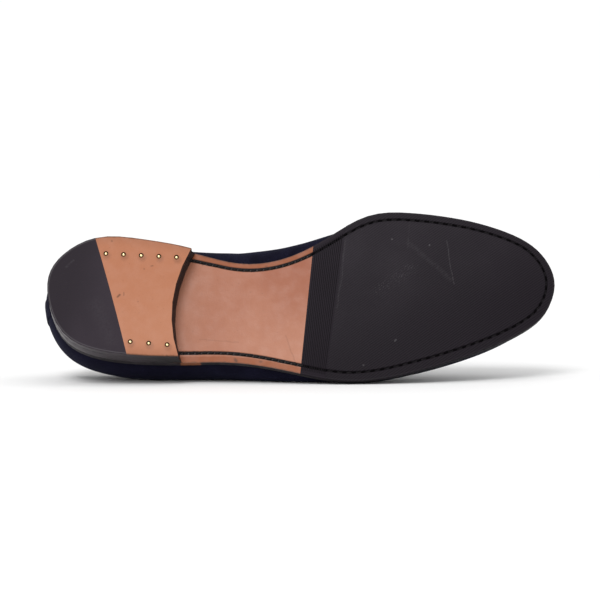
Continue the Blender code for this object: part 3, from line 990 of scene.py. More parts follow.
@dataclass(frozen=True)
class EdgeDressing(Finish):
    """Black waxed edge of soles and heel: blacker in front, and brown on a bare stretch of the waist."""

    fore: Color = (0.0022, 0.0019, 0.0045)
    fore_x: tuple[float, float] = (135.0, 185.0)
    grain_mm: float = 0.05
    uneven: float = 1.0
    bare: Color = (0.20, 0.075, 0.035)
    bare_start: Plan = (80.0, 36.5)
    bare_end: Plan = (88.0, 37.0)
    bare_width: float = 5.0

    WAX = Cloud(120.0, 4.0, 0.3, 0.7)
    WORN_SHADE = 0.7
    RAGGED = Cloud(300.0)
    RAGGED_SHARE = 0.5
    BARE_STEP = (0.75, 0.95)
    RUBBED = Cloud(200.0, 3.0, 0.3, 0.7)
    SMOOTHER = 0.06
    ROUGHER = 0.1
    GRAIN = Cloud(700.0)

    def dress(self, nodes: Nodes, shader: bpy.types.Node) -> None:
        """Adds uneven wax, deeper black in front, and the bare brown stretch.

        Args:
            nodes: The material's nodes.
            shader: Its shader.
        """
        link = nodes.tree.links.new
        place, plan = nodes.object_place(), nodes.plan_place()
        worn = tuple((1.0 + self.WORN_SHADE * self.uneven) * value for value in self.color)
        color = nodes.mix(self.WAX.share(nodes, place), self.color, worn)
        along = nodes.add("ShaderNodeSeparateXYZ", {0: plan}).outputs["X"]
        color = nodes.mix(nodes.step(along, *self.fore_x), color, self.fore)
        bare = nodes.stroke(plan, self.bare_start, self.bare_end, self.bare_width)
        ragged = nodes.math("MULTIPLY", self.RAGGED.noise(nodes, place), self.RAGGED_SHARE)
        bare = nodes.step(nodes.math("ADD", bare, ragged), *self.BARE_STEP)
        link(nodes.mix(bare, color, self.bare), shader.inputs["Base Color"])
        least = self.roughness - self.SMOOTHER * self.uneven
        most = self.roughness + self.ROUGHER * self.uneven
        link(self.RUBBED.share(nodes, place, least, most), shader.inputs["Roughness"])
        link(nodes.bump(self.GRAIN.noise(nodes, place), self.grain_mm), shader.inputs["Normal"])


NAVY = Nap("navy_napped_leather", (0.0030, 0.0027, 0.0070), 0.95, specular=0.05)
RIBBON = Nap(
    "navy_binding_ribbon",
    (0.004, 0.004, 0.009),
    0.7,
    specular=0.2,
    light=(0.008, 0.008, 0.016),
    sheen=0.02,
)
WAIST_TAN = SoleLeather(
    "tan_waist_leather",
    (0.206, 0.0645, 0.0325),
    0.42,
    coat=0.02,
    specular=0.16,
    marks=(
        Mark((128.0, -19.4), (128.8, -18.8), 1.3, 0.5),
        Mark((110.3, 34.9), (111.3, 35.6), 1.3, 0.85),
        Mark((123.9, 36.0), (124.4, 36.1), 1.0, 0.6),
        Mark((90.5, -23.3), (90.5, -23.3), 0.9, 0.5),
        Mark((90.0, 22.0), (112.0, 24.5), 0.7, 0.18),
        Mark((139.0, 22.0), (146.0, 40.0), 0.6, 0.2),
    ),
)
HEEL_TAN = SoleLeather(
    "tan_heel_leather",
    (0.267, 0.095, 0.0445),
    0.48,
    specular=0.14,
    pale=(0.305, 0.126, 0.069),
    margin=(0.243, 0.0955, 0.05),
    margin_mm=4.5,
    margin_blur=4.5,
    lit_lateral_x=(-9.0, -8.0),
    marks=(
        Mark((42.2, -0.7), (43.5, -2.2), 0.9, 0.75),
        Mark((45.5, -1.5), (46.0, -3.5), 0.6, 0.5),
        Mark((57.5, -16.5), (57.5, -16.5), 0.7, 0.6),
        Mark((61.2, -18.6), (62.4, -18.9), 0.7, 0.6),
        Mark((38.5, -34.8), (38.5, -34.8), 1.0, 0.55),
        Mark((53.1, 2.4), (53.1, 2.4), 0.8, 0.5),
        Mark((70.0, 34.4), (70.0, 35.4), 0.9, 0.8),
    ),
)
TREAD_RUBBER = Rubber(
    "charcoal_tread_rubber",
    (0.0058, 0.0037, 0.0062),
    0.6,
    specular=0.1,
    marks=(
        Mark((232.9, -35.5), (236.9, -8.4), 0.5, 0.28),
        Mark((211.4, -32.5), (234.6, -11.4), 2.6, 0.08),
        Mark((201.2, -35.5), (201.2, -35.5), 0.9, 1.0),
        Mark((223.3, -31.9), (223.3, -31.9), 0.8, 1.0),
        Mark((201.8, 25.8), (202.6, 24.9), 0.7, 0.5),
        Mark((184.1, 40.3), (184.1, 40.3), 0.8, 0.9),
        Mark((174.0, -34.0), (169.0, 6.0), 0.5, 0.15),
        Mark((194.0, -5.0), (212.0, -17.0), 6.0, 0.3, True),
        Mark((212.0, -46.0), (210.5, -30.0), 0.7, 0.09),
    ),
)
STRIP_RUBBER = Rubber(
    "charcoal_strip_rubber",
    (0.0068, 0.0042, 0.0073),
    0.6,
    specular=0.08,
    dust_share=0.3,
    line_depth_mm=0.02,
    line_shade=0.0,
)
HEEL_RUBBER = Rubber(
    "charcoal_heel_rubber",
    (0.0082, 0.0045, 0.0084),
    0.5,
    specular=0.1,
    dust=(0.024, 0.017, 0.0245),
    dust_share=0.76,
    dust_from=(38.0, 10.0),
    dust_to=(8.0, 2.0),
    dust_edge=(0.0, 0.1),
    line_depth_mm=0.01,
    line_shade=0.0,
    rim_highlight_share=0.4,
    marks=(
        Mark((29.0, 4.0), (38.0, 25.0), 8.0, 0.06),
        Mark((12.0, -18.0), (16.0, -22.0), 1.0, 0.15),
    ),
)
EDGE_WAX = EdgeDressing("black_edge_wax", (0.017, 0.0145, 0.0165), 0.6, specular=0.1)
HEEL_WAX = EdgeDressing(
    "black_heel_wax",
    (0.028, 0.0205, 0.0255),
    0.44,
    coat=0.05,
    specular=0.26,
    fore=(0.009, 0.0066, 0.0072),
    fore_x=(48.0, 76.0),
    grain_mm=0.01,
    uneven=0.3,
    bare_width=0.01,
)
WAIST_THREAD = Finish("charcoal_waxed_thread", (0.0044, 0.0038, 0.0037), 0.5, specular=0.12)
THREAD = Finish("black_waxed_thread", (0.0011, 0.0008, 0.0011), 0.75, specular=0.03)
BRASS = Finish("polished_brass", (0.70, 0.52, 0.26), 0.28, metallic=1.0)
SOCK = Finish("tan_sock_leather", (0.36, 0.19, 0.10), 0.5, coat=0.1)
LINING = Finish("tan_lining_leather", (0.40, 0.23, 0.13), 0.55)


class PathTree:
    """Geometry node trees that lay repeats along paths: stitches, ribs and nail heads."""

    BEAD = {"Segments": 8, "Rings": 6, "Radius": 0.5}
    DOME = {"Segments": 20, "Rings": 12, "Radius": 1.0}
    RIB_SIDES = 6

    def __init__(self, name: str, numbers: Sequence[str]) -> None:
        """Starts a tree with a path, named sizes and a material as inputs.

        Args:
            name: The tree's name.
            numbers: The sizes' names.
        """
        self.tree = bpy.data.node_groups.new(name, "GeometryNodeTree")
        face = self.tree.interface
        kinds = {"Path": "Geometry", **{number: "Float" for number in numbers}, "Material": "Material"}
        self.keys = {}
        for key, kind in kinds.items():
            socket = face.new_socket(key, in_out="INPUT", socket_type=f"NodeSocket{kind}")
            self.keys[key] = socket.identifier
        face.new_socket("Mesh", in_out="OUTPUT", socket_type="NodeSocketGeometry")
        self.nodes = Nodes(self.tree)
        self.given = self.tree.nodes.new("NodeGroupInput").outputs

    def outward(self) -> bpy.types.NodeSocket:
        """The way out of the surface that the path's points store."""
        inputs = {"Name": "out"}
        return self.nodes.made("GeometryNodeInputNamedAttribute", inputs, data_type="FLOAT_VECTOR")

    def close(self, instances: bpy.types.NodeSocket) -> None:
        """Ends the tree: real geometry, shaded smooth, with its material.

        Args:
            instances: What the tree has made.
        """
        real = self.nodes.made("GeometryNodeRealizeInstances", {0: instances})
        smooth = self.nodes.made("GeometryNodeSetShadeSmooth", {0: real})
        inputs = {"Geometry": smooth, "Material": self.given["Material"]}
        self.nodes.add("NodeGroupOutput", {0: self.nodes.made("GeometryNodeSetMaterial", inputs)})

    @classmethod
    def stitches(cls) -> "PathTree":
        """Slanting stitches along curves, with their flat side along the path's stored normals.

        Returns:
            The tree.
        """
        made = cls("stitches_along_path", ("Pitch", "Length", "Width", "Height", "Slant"))
        nodes, given = made.nodes, made.given
        curve = nodes.made("GeometryNodeMeshToCurve", {0: given["Path"]})
        inputs = {"Curve": curve, "Length": given["Pitch"]}
        spaced = nodes.made("GeometryNodeResampleCurve", inputs, mode="LENGTH")
        along = nodes.made("GeometryNodeInputTangent")
        out = made.outward()
        turned = nodes.made("FunctionNodeAlignRotationToVector", {"Vector": along}, axis="X")
        inputs = {"Rotation": turned, "Vector": out}
        upright = nodes.made("FunctionNodeAlignRotationToVector", inputs, axis="Z", pivot_axis="X")
        lean = nodes.made("ShaderNodeCombineXYZ", {"Z": given["Slant"]})
        slant = nodes.made("FunctionNodeEulerToRotation", {0: lean})
        inputs = {"Rotation": upright, "Rotate By": slant}
        turn = nodes.made("FunctionNodeRotateRotation", inputs, rotation_space="LOCAL")
        bead = nodes.made("GeometryNodeMeshUVSphere", cls.BEAD)
        size = {"X": given["Length"], "Y": given["Width"], "Z": given["Height"]}
        scale = nodes.made("ShaderNodeCombineXYZ", size)
        inputs = {"Points": spaced, "Instance": bead, "Rotation": turn, "Scale": scale}
        made.close(nodes.made("GeometryNodeInstanceOnPoints", inputs))
        return made

    @classmethod
    def ribs(cls) -> "PathTree":
        """Fine round ribs swept along curves.

        Returns:
            The tree.
        """
        made = cls("ribs_along_path", ("Radius",))
        nodes, given = made.nodes, made.given
        curve = nodes.made("GeometryNodeMeshToCurve", {0: given["Path"]})
        inputs = {"Resolution": cls.RIB_SIDES, "Radius": given["Radius"]}
        round_line = nodes.made("GeometryNodeCurvePrimitiveCircle", inputs)
        inputs = {"Curve": curve, "Profile Curve": round_line, "Fill Caps": True}
        made.close(nodes.made("GeometryNodeCurveToMesh", inputs))
        return made

    @classmethod
    def nail_heads(cls) -> "PathTree":
        """Low domes at points, raised along the points' stored normals.

        Returns:
            The tree.
        """
        made = cls("nail_heads_at_points", ("Radius", "Rise"))
        nodes, given = made.nodes, made.given
        turn = nodes.made("FunctionNodeAlignRotationToVector", {"Vector": made.outward()}, axis="Z")
        dome = nodes.made("GeometryNodeMeshUVSphere", cls.DOME)
        size = {"X": given["Radius"], "Y": given["Radius"], "Z": given["Rise"]}
        scale = nodes.made("ShaderNodeCombineXYZ", size)
        inputs = {"Points": given["Path"], "Instance": dome, "Rotation": turn, "Scale": scale}
        made.close(nodes.made("GeometryNodeInstanceOnPoints", inputs))
        return made

    def run(
        self,
        shoe: ShoeFrame,
        paths: Sequence[np.ndarray],
        way: Sequence[float],
        finish: Finish,
        joined: bool = True,
        **sizes: float,
    ) -> bpy.types.Mesh:
        """Runs the tree over paths given in the shoe's frame.

        Args:
            shoe: The shoe's frame.
            paths: Points of each path, in millimetres.
            way: The way out of the surface that they lie on.
            finish: The finish of what is made.
            joined: Whether each path's points are joined into a line.
            sizes: The tree's named sizes, in row units.

        Returns:
            A plain mesh in the row frame.
        """
        mesh = bpy.data.meshes.new("paths")
        points = [shoe.row_point(point) for path in paths for point in path]
        edges, base = [], 0
        for path in paths:
            edges += [(base + i, base + i + 1) for i in range(len(path) - 1)] if joined else []
            base += len(path)
        mesh.from_pydata(points, edges, [])
        out = mesh.attributes.new("out", "FLOAT_VECTOR", "POINT")
        out.data.foreach_set("vector", np.tile(np.array(shoe.row_direction(way), np.float32), len(points)))
        holder = bpy.data.objects.new("paths", mesh)
        bpy.context.scene.collection.objects.link(holder)
        modifier = holder.modifiers.new("repeat", "NODES")
        modifier.node_group = self.tree
        modifier[self.keys["Material"]] = finish.material()
        for name, value in sizes.items():
            modifier[self.keys[name]] = value
        graph = bpy.context.evaluated_depsgraph_get()
        made = bpy.data.meshes.new_from_object(holder.evaluated_get(graph))
        bpy.data.objects.remove(holder)
        bpy.data.meshes.remove(mesh)
        return made


@dataclass(frozen=True)
class Seam:
    """A row of stitches: its name, its thread and its stitches' sizes, in millimetres."""

    name: str
    finish: Finish
    pitch: float
    length: float
    width: float
    height: float
    slant_deg: float = 0.0

    def sew(self, shoe: ShoeFrame, paths: Sequence[np.ndarray], way: Sequence[float]) -> None:
        """Lays the stitches along paths and adds them as one piece.

        Args:
            shoe: The shoe's frame.
            paths: Points of each path, in millimetres.
            way: The way out of the surface that they lie on.
        """
        mesh = PathTree.stitches().run(
            shoe,
            paths,
            way,
            self.finish,
            Pitch=self.pitch * MM,
            Length=self.length * MM,
            Width=self.width * MM,
            Height=self.height * MM,
            Slant=math.radians(self.slant_deg),
        )
        add_piece(self.name, mesh, (self.finish,))


WAIST_SEAM = Seam("waist_seam", WAIST_THREAD, pitch=3.7, length=3.5, width=1.3, height=1.15, slant_deg=14.0)
TREAD_SEAM = Seam("tread_seam", THREAD, pitch=5.4, length=2.9, width=1.1, height=1.05, slant_deg=8.0)
WELT_SEAM = Seam("welt_seam", THREAD, pitch=3.0, length=2.6, width=0.7, height=0.55)


@dataclass
class Sole:
    """Outsole, rubber forepart, welt, and the seam that joins them."""

    shoe: ShoeFrame
    outline: SoleOutline
    seam_start_x: float = 76.5
    seam_insets: tuple[Inset, ...] = (
        Inset(0.0, 6.0),
        Inset(0.06, 5.6),
        Inset(0.12, 5.0),
        Inset(0.2, 5.0),
        Inset(0.28, 5.9),
        Inset(0.36, 5.6),
        Inset(0.44, 5.0),
        Inset(0.5, 4.7),
        Inset(0.56, 4.0),
        Inset(0.65, 4.4),
        Inset(0.75, 4.4),
        Inset(0.85, 4.1),
        Inset(0.95, 3.9),
        Inset(1.0, 5.0),
    )
    seam_step: float = 0.3
    seam_sink: float = 0.4
    waist_channel: float = 1.15
    tread_channel: float = 0.9
    channel_depth: float = 0.75
    channel_floor: float = 0.3
    refined_widths: float = 1.7
    fine_edge: float = 0.55
    margin: float = 7.0
    waxed_rim: float = 0.15
    heel_rim: float = 2.5
    heel_ends: tuple[float, float] = (82.0, 72.0)
    under_tilt: float = -0.75
    rim_round: float = 0.7
    rim_rise: float = 1.0
    rim_reach: float = 0.6
    middle_y: float = -8.0
    toe_x: float = 294.0
    margin_edge: float = 2.0
    rear_edge: tuple[Plan, Plan] = ((147.5, 44.6), (155.7, -31.8))
    tread_step: tuple[Plan, Plan] = ((162.3, 47.8), (173.7, -42.2))
    rib_pitch: float = 1.05
    rib_radius: float = 0.26
    rib_sink: float = 0.1
    rib_step: float = 2.5
    welt_round: float = 0.35
    welt_seam_x: float = 168.0
    welt_seam_inset: float = 2.2
    welt_seam_rise: float = 0.05
    joint_shift: float = 0.3
    joint_reach: float = 0.9
    seam_line: np.ndarray = field(init=False)
    underside: NodeSurface = field(init=False)

    def __post_init__(self) -> None:
        """Works out the seam's line in plan and reads the sole's underside."""
        inner = self.outline.inner_line(self.seam_start_x, self.seam_insets)
        self.seam_line = resampled(inner, self.seam_step)
        self.underside = NodeSurface(self.shoe, "outsole", "half_sole")

    def build(self) -> None:
        """Makes all pieces of the sole."""
        leather, rubber = (WAIST_TAN, EDGE_WAX), (TREAD_RUBBER, STRIP_RUBBER)
        waist, tread = self.waist_or_edge, self.tread_or_strip
        self.bottom("outsole", "outsole_leather", leather, Slot.LEATHER, waist, self.waist_channel)
        self.bottom("half_sole", "forepart", rubber, Slot.RUBBER, tread, self.tread_channel)
        self.welt()
        self.seam()
        self.ribs()
        self.welt_seam()

    def bottom(
        self,
        node: str,
        name: str,
        finishes: Sequence[Finish],
        slot: Slot,
        chooser: Callable[[Vector, Vector], int],
        channel_width: float,
    ) -> None:
        """Makes a sole piece with the seam's channel cut into its underside.

        Args:
            node: The solid that it copies.
            name: The piece's name.
            finishes: Its finishes.
            slot: Its slot in the record.
            chooser: Picks a finish for each face.
            channel_width: Half the channel's width.
        """
        mesh = ShoeMesh.of_node(self.shoe, node)
        if node == "half_sole":
            mesh.round_edges(self.rim_round, self.on_rim)
            self.close_joint(mesh)
        line = Nearest(np.column_stack((self.seam_line, self.seam_heights())))
        mesh.refine(self.outline.depth, self.margin, self.margin_edge)
        mesh.refine(line.gaps, self.refined_widths * channel_width, self.fine_edge)
        points = mesh.points()
        seam = line.gaps(points)
        shallow = smoothstep(seam, self.channel_floor * channel_width, channel_width)
        points[:, 2] += self.channel_depth * (1.0 - shallow)
        mesh.move(points)
        mesh.measure("seam_mm", np.minimum(seam, FAR_MM))
        mesh.measure("edge_mm", self.outline.depth(points))
        mesh.measure("nail_mm", np.full(len(points), FAR_MM))
        mesh.measure("halo_shadow_mm", np.full(len(points), FAR_MM))
        mesh.paint(chooser)
        mesh.piece(name, finishes, slot, (node,))

    def close_joint(self, mesh: ShoeMesh) -> None:
        """Brings the rubber's rear wall up against the leather.

        Args:
            mesh: The rubber's mesh.
        """
        points = mesh.points()
        rear = line_x(self.rear_edge, points[:, 1]) + self.joint_reach
        points[points[:, 0] < rear, 0] -= self.joint_shift
        mesh.move(points)

    def seam_heights(self) -> np.ndarray:
        """Heights of the sole's underside along the seam."""
        return self.underside.heights(self.seam_line, Side.FROM_BELOW)

    def on_rim(self, points: np.ndarray) -> np.ndarray:
        """Which points lie on the outer rim of the sole's underside.

        Args:
            points: The points.

        Returns:
            True or false for each.
        """
        middle = np.column_stack((np.minimum(points[:, 0], self.toe_x), np.full(len(points), self.middle_y)))
        low = self.underside.heights(middle, Side.FROM_BELOW)
        return (points[:, 2] < low + self.rim_rise) & (self.outline.depth(points) < self.rim_reach)

    def waist_or_edge(self, centre: Vector, normal: Vector) -> int:
        """Tan leather underneath, black wax on the wall, on its eased edge and close round the heel.

        Args:
            centre: A face's centre.
            normal: Its normal.

        Returns:
            0 for leather, 1 for wax.
        """
        heel_x = self.heel_ends[0] if centre.y < 0.0 else self.heel_ends[1]
        rim = self.heel_rim if centre.x < heel_x else self.waxed_rim
        inside = self.outline.depth(np.array([centre.xy]))[0] > rim
        return 0 if normal.z < self.under_tilt and inside else 1

    def tread_or_strip(self, centre: Vector, normal: Vector) -> int:
        """Lined tread in front of the step, plain strip behind it."""
        return 0 if centre.x > line_x(self.tread_step, centre.y) else 1

    def welt(self) -> None:
        """Makes the welt, with eased edges."""
        mesh = ShoeMesh.of_node(self.shoe, "welt")
        mesh.ease(self.welt_round)
        mesh.piece("welt_strip", (EDGE_WAX,), Slot.EDGE, ("welt",))

    def seam(self) -> None:
        """Sews the seam that shows in the channel, thick on the waist and pulled in on the rubber."""
        line = np.column_stack((self.seam_line, self.seam_heights() + self.seam_sink))
        front = line[:, 0] > line_x(self.rear_edge, line[:, 1])
        first, last = np.flatnonzero(front)[[0, -1]]
        WAIST_SEAM.sew(self.shoe, [line[:first], line[last + 1 :]], DOWN)
        TREAD_SEAM.sew(self.shoe, [line[first : last + 1]], DOWN)

    def ribs(self) -> None:
        """Makes the fine ribs on the strip behind the tread's step."""
        rear, step = np.array(self.rear_edge), np.array(self.tread_step)
        wide = np.linalg.norm(step.mean(axis=0) - rear.mean(axis=0))
        count = int(wide / self.rib_pitch)
        paths = []
        for number in range(1, count):
            share = number / count
            line = resampled(rear * (1.0 - share) + step * share, self.rib_step)[1:-1]
            height = self.underside.heights(line, Side.FROM_BELOW)
            paths.append(np.column_stack((line, height + self.rib_sink)))
        mesh = PathTree.ribs().run(self.shoe, paths, DOWN, STRIP_RUBBER, Radius=self.rib_radius * MM)
        add_piece("strip_ribs", mesh, (STRIP_RUBBER,))

    def welt_seam(self) -> None:
        """Sews the lighter seam on top of the welt, round the forefoot."""
        plan = self.outline.inner_line(self.welt_seam_x, (Inset(0.0, self.welt_seam_inset),))
        height = NodeSurface(self.shoe, "welt").heights(plan, Side.FROM_ABOVE)
        WELT_SEAM.sew(self.shoe, [np.column_stack((plan, height + self.welt_seam_rise))], UP)


@dataclass
class Heel:
    """Heel block, leather and rubber top pieces, and brass nails."""

    shoe: ShoeFrame
    outline: SoleOutline
    nail_count: int = 8
    nail_radius: float = 0.92
    nail_rise: float = 0.42
    nail_z: float = 0.55
    nail_gap_z: float = 0.5
    dent_depth: float = 0.35
    dent_reach: float = 2.6
    dent_fall: float = 2.0
    dent_z: float = 1.0
    refined_dents: float = 1.6
    fine_edge: float = 0.8
    tread_edge: float = 2.5
    tread_z: float = 0.6
    tread_reach: float = 0.1
    under_tilt: float = -0.6
    block_round: float = 0.3
    rubber_round: float = 1.1
    leather_round: float = 0.35
    rim_reach: float = 3.5
    rim_z: float = 0.3
    wall_inset: float = 0.8
    # Shift of each nail's halo, which is partly the head's painted shadow.
    halo_shadow_shift: Plan = (0.6, 1.5)
    joint_gap: float = 0.6

    def build(self) -> None:
        """Makes all pieces of the heel."""
        centres = self.nail_centres()
        self.block()
        self.top_piece("heel_top_leather", "heel_leather", (HEEL_TAN, HEEL_WAX), Slot.LEATHER, centres)
        self.top_piece("heel_top_rubber", "heel_rubber", (HEEL_RUBBER, HEEL_WAX), Slot.RUBBER, centres)
        self.nails(centres)

    def nail_centres(self) -> np.ndarray:
        """Plan places of the nails, from their solids.

        Returns:
            One place per nail.
        """
        centres = []
        for number in range(1, self.nail_count + 1):
            low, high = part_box(f"heel_nail_{number}")
            centres.append((self.shoe.to_shoe @ ((low + high) / 2.0)).xy)
        return np.array(centres)

    def block(self) -> None:
        """Makes the waxed leather block."""
        mesh = ShoeMesh.of_node(self.shoe, "heel_stack")
        mesh.ease(self.block_round)
        mesh.piece("heel_block", (HEEL_WAX,), Slot.EDGE, ("heel_stack",))

    def top_piece(
        self, node: str, name: str, finishes: Sequence[Finish], slot: Slot, centres: np.ndarray
    ) -> None:
        """Makes one part of the top piece, with eased edges and dents round its nails.

        Args:
            node: The solid that it copies.
            name: The piece's name.
            finishes: Its finish underneath and its finish on the wall.
            slot: Its slot in the record.
            centres: Plan places of the nails.
        """
        mesh = ShoeMesh.of_node(self.shoe, node)
        mesh.round_edges(self.rounded(node), self.on_tread_rim)
        if node == "heel_top_leather":
            self.close_joint(mesh)
        mesh.refine(self.tread_gap, self.tread_reach, self.tread_edge)
        dents = self.refined_dents * self.dent_reach
        mesh.refine(lambda points: self.nail_gap(points, centres), dents, self.fine_edge)
        points = mesh.points()
        nail = Nearest(centres).gaps(points)
        dent = self.dent_depth * np.exp(-((nail / self.dent_reach) ** 2) * self.dent_fall)
        points[:, 2] += np.where(points[:, 2] < self.dent_z, dent, 0.0)
        mesh.move(points)
        mesh.measure("seam_mm", np.full(len(points), FAR_MM))
        mesh.measure("edge_mm", np.maximum(self.outline.depth(points) - self.wall_inset, 0.0))
        mesh.measure("nail_mm", np.minimum(nail, FAR_MM))
        mesh.measure("halo_shadow_mm", Nearest(centres + self.halo_shadow_shift).gaps(points))
        mesh.paint(lambda centre, normal: 0 if normal.z < self.under_tilt else 1)
        mesh.piece(name, finishes, slot, (node,))

    def close_joint(self, mesh: ShoeMesh) -> None:
        """Brings the leather's rear wall up against the rubber.

        Args:
            mesh: The leather's mesh.
        """
        points = mesh.points()
        on, _ = NodeSurface(self.shoe, "heel_top_rubber").nearest(points)
        close = np.linalg.norm(points - on, axis=1) < self.joint_gap
        points[close, :2] = on[close, :2]
        mesh.move(points)

    def rounded(self, node: str) -> float:
        """How far the tread's outer rim is rounded: the rubber's more than the leather's."""
        return self.rubber_round if node == "heel_top_rubber" else self.leather_round

    def on_tread_rim(self, points: np.ndarray) -> np.ndarray:
        """Which points lie on the tread's outer rim."""
        return (points[:, 2] < self.rim_z) & (self.outline.depth(points) < self.rim_reach)

    def tread_gap(self, points: np.ndarray) -> np.ndarray:
        """0 for points on the tread; points off the tread count as far."""
        return np.where(points[:, 2] < self.tread_z, 0.0, FAR_MM)

    def nail_gap(self, points: np.ndarray, centres: np.ndarray) -> np.ndarray:
        """How far points on the tread are from a nail; points off the tread count as far."""
        return np.where(points[:, 2] < self.nail_gap_z, Nearest(centres).gaps(points), FAR_MM)

    def nails(self, centres: np.ndarray) -> None:
        """Makes the nails' low domed heads.

        Args:
            centres: Plan places of the nails.
        """
        line = np.column_stack((centres, np.full(len(centres), self.nail_z)))
        sizes = {"Radius": self.nail_radius * MM, "Rise": self.nail_rise * MM}
        mesh = PathTree.nail_heads().run(self.shoe, [line], DOWN, BRASS, joined=False, **sizes)
        nodes = [f"heel_nail_{number}" for number in range(1, self.nail_count + 1)]
        add_piece("heel_nail_heads", mesh, (BRASS,), nodes)


@dataclass(frozen=True)
class Crease:
    """A soft trough, with a ridge beside it, across the upper, in plan millimetres."""

    start: Plan
    end: Plan
    width: float
    depth: float


@dataclass
class Upper:
    """Napped upper with its lining, collar binding, back strip and sock."""

    shoe: ShoeFrame
    creases: tuple[Crease, ...] = (
        Crease((172.0, -34.0), (160.0, 22.0), 4.5, 0.55),
        Crease((184.0, -36.0), (171.0, 28.0), 4.0, 0.4),
        Crease((150.0, -22.0), (141.0, 12.0), 3.5, 0.3),
        Crease((112.0, -34.0), (126.0, -28.0), 4.0, 0.35),
        Crease((30.0, -36.0), (44.0, -38.0), 4.0, 0.3),
    )
    ridge_share: float = 0.6
    ridge_shift: float = 1.7
    crease_z: tuple[float, float] = (14.0, 30.0)
    soft_deg: float = 60.0
    axis_heel: tuple[float, float, float] = (0.0, -3.5, 48.0)
    axis_toe: tuple[float, float, float] = (285.0, -10.5, 24.0)
    axis_share: tuple[float, float] = (0.06, 0.93)
    collar_floor: float = 60.0
    collar_x: float = 135.0
    collar_middle: Plan = (66.0, -3.0)
    rim_deg: float = 55.0
    rim_reach: float = 3.2
    rim_drop: float = 1.6
    rim_points: int = 240
    rim_median: int = 2
    binding_drop: float = 3.6
    binding_proud: float = 0.35
    binding_foot: float = 0.02
    binding_lift: float = 0.1
    binding_crown: float = 0.2
    binding_deg: float = 80.0
    strip_share: float = 0.3
    strip_tuck: float = 0.6
    tuck_z: tuple[float, float] = (75.0, 78.0)
    strip_round: float = 0.2
    sock_round: float = 0.8
    sock_tilt: float = 0.3
    ease_deg: float = 50.0
    foot_rise: float = 1.8
    ground: NodeSurface = field(init=False)
    skin: NodeSurface = field(init=False)

    def __post_init__(self) -> None:
        """Reads the sole that the upper stands on, and the upper, whose smoothed shell takes its place."""
        self.ground = NodeSurface(self.shoe, "welt", "outsole")
        self.skin = NodeSurface(self.shoe, "upper")

    def build(self) -> None:
        """Makes all pieces of the upper."""
        outer, inner = self.collar_rims()
        self.shell()
        self.binding(outer, inner)
        self.strip()
        self.sock()

    def outside(self, centre: Vector, normal: Vector) -> int:
        """Tells the outer wall and its foot from the lining, by the shoe's inner axis.

        Args:
            centre: A face's centre.
            normal: Its normal.

        Returns:
            0 outside, 1 on the lining.
        """
        if centre.z < self.ground.heights(np.array([centre.xy]), Side.FROM_ABOVE)[0] + self.foot_rise:
            return 0
        (heel_x, *_), (toe_x, *_), (least, most) = self.axis_heel, self.axis_toe, self.axis_share
        share = min(max((centre.x - heel_x) / (toe_x - heel_x), least), most)
        axis = Vector(self.axis_heel).lerp(Vector(self.axis_toe), share)
        return 0 if normal.dot(centre - axis) > 0.0 else 1

    def shell(self) -> None:
        """Makes the wall of the upper, smooth and softly creased."""
        mesh = ShoeMesh.of_node(self.shoe, "upper")
        mesh.modify("SUBSURF", levels=2, render_levels=2)
        mesh.paint(self.outside)
        points, normals = mesh.points(), mesh.normals()
        for crease in self.creases:
            start, end = np.array(crease.start), np.array(crease.end)
            run = end - start
            share = ((points[:, :2] - start) @ run) / (run @ run)
            foot = start + np.clip(share, 0.0, 1.0)[:, None] * run
            away = np.linalg.norm(points[:, :2] - foot, axis=1)
            side = np.sign(points[:, 0] - foot[:, 0])
            trough = -np.exp(-((away / crease.width) ** 2))
            shifted = (away * side - self.ridge_shift * crease.width) / crease.width
            ridge = self.ridge_share * np.exp(-(shifted**2))
            fade = smoothstep(points[:, 2], *self.crease_z)
            points += normals * (crease.depth * (trough + ridge) * fade)[:, None]
        mesh.move(points)
        self.skin.tree = BVHTree.FromBMesh(mesh.builder)
        mesh.piece("upper_shell", (NAVY, LINING), Slot.NAP, ("upper",), sharp_deg=self.soft_deg)

    def collar_rims(self) -> tuple[np.ndarray, np.ndarray]:
        """The collar's outer and inner edge, as closed lines with the same number of points.

        Returns:
            Both lines, sorted by their angle round the collar's middle.
        """
        mesh = ShoeMesh.of_node(self.shoe, "upper")
        mesh.builder.normal_update()
        rims: list[list[Vector]] = [[], []]
        for edge in mesh.builder.edges:
            middle = (edge.verts[0].co + edge.verts[1].co) / 2.0
            if len(edge.link_faces) == 2 and middle.z > self.collar_floor and middle.x < self.collar_x:
                first, second = edge.link_faces
                if first.normal.angle(second.normal) > math.radians(self.rim_deg):
                    for end in edge.verts:
                        rims[self.rim_side(end.co, mesh)].append(end.co.copy())
        mesh.builder.free()
        return tuple(self.sorted_rim(rim) for rim in rims)

    def rim_side(self, point: Vector, mesh: ShoeMesh) -> int:
        """Tells the outer edge of the collar's rim from the inner one.

        Args:
            point: A point on the rim.
            mesh: The upper's mesh.

        Returns:
            0 on the outer edge, 1 on the inner one.
        """
        middle = Vector(self.collar_middle)
        reach = (point.xy - middle).length
        near = [
            (vertex.co.xy - middle).length
            for vertex in mesh.builder.verts
            if (vertex.co - point).length < self.rim_reach and vertex.co.z > point.z - self.rim_drop
        ]
        return 0 if reach >= (min(near) + max(near)) / 2.0 else 1

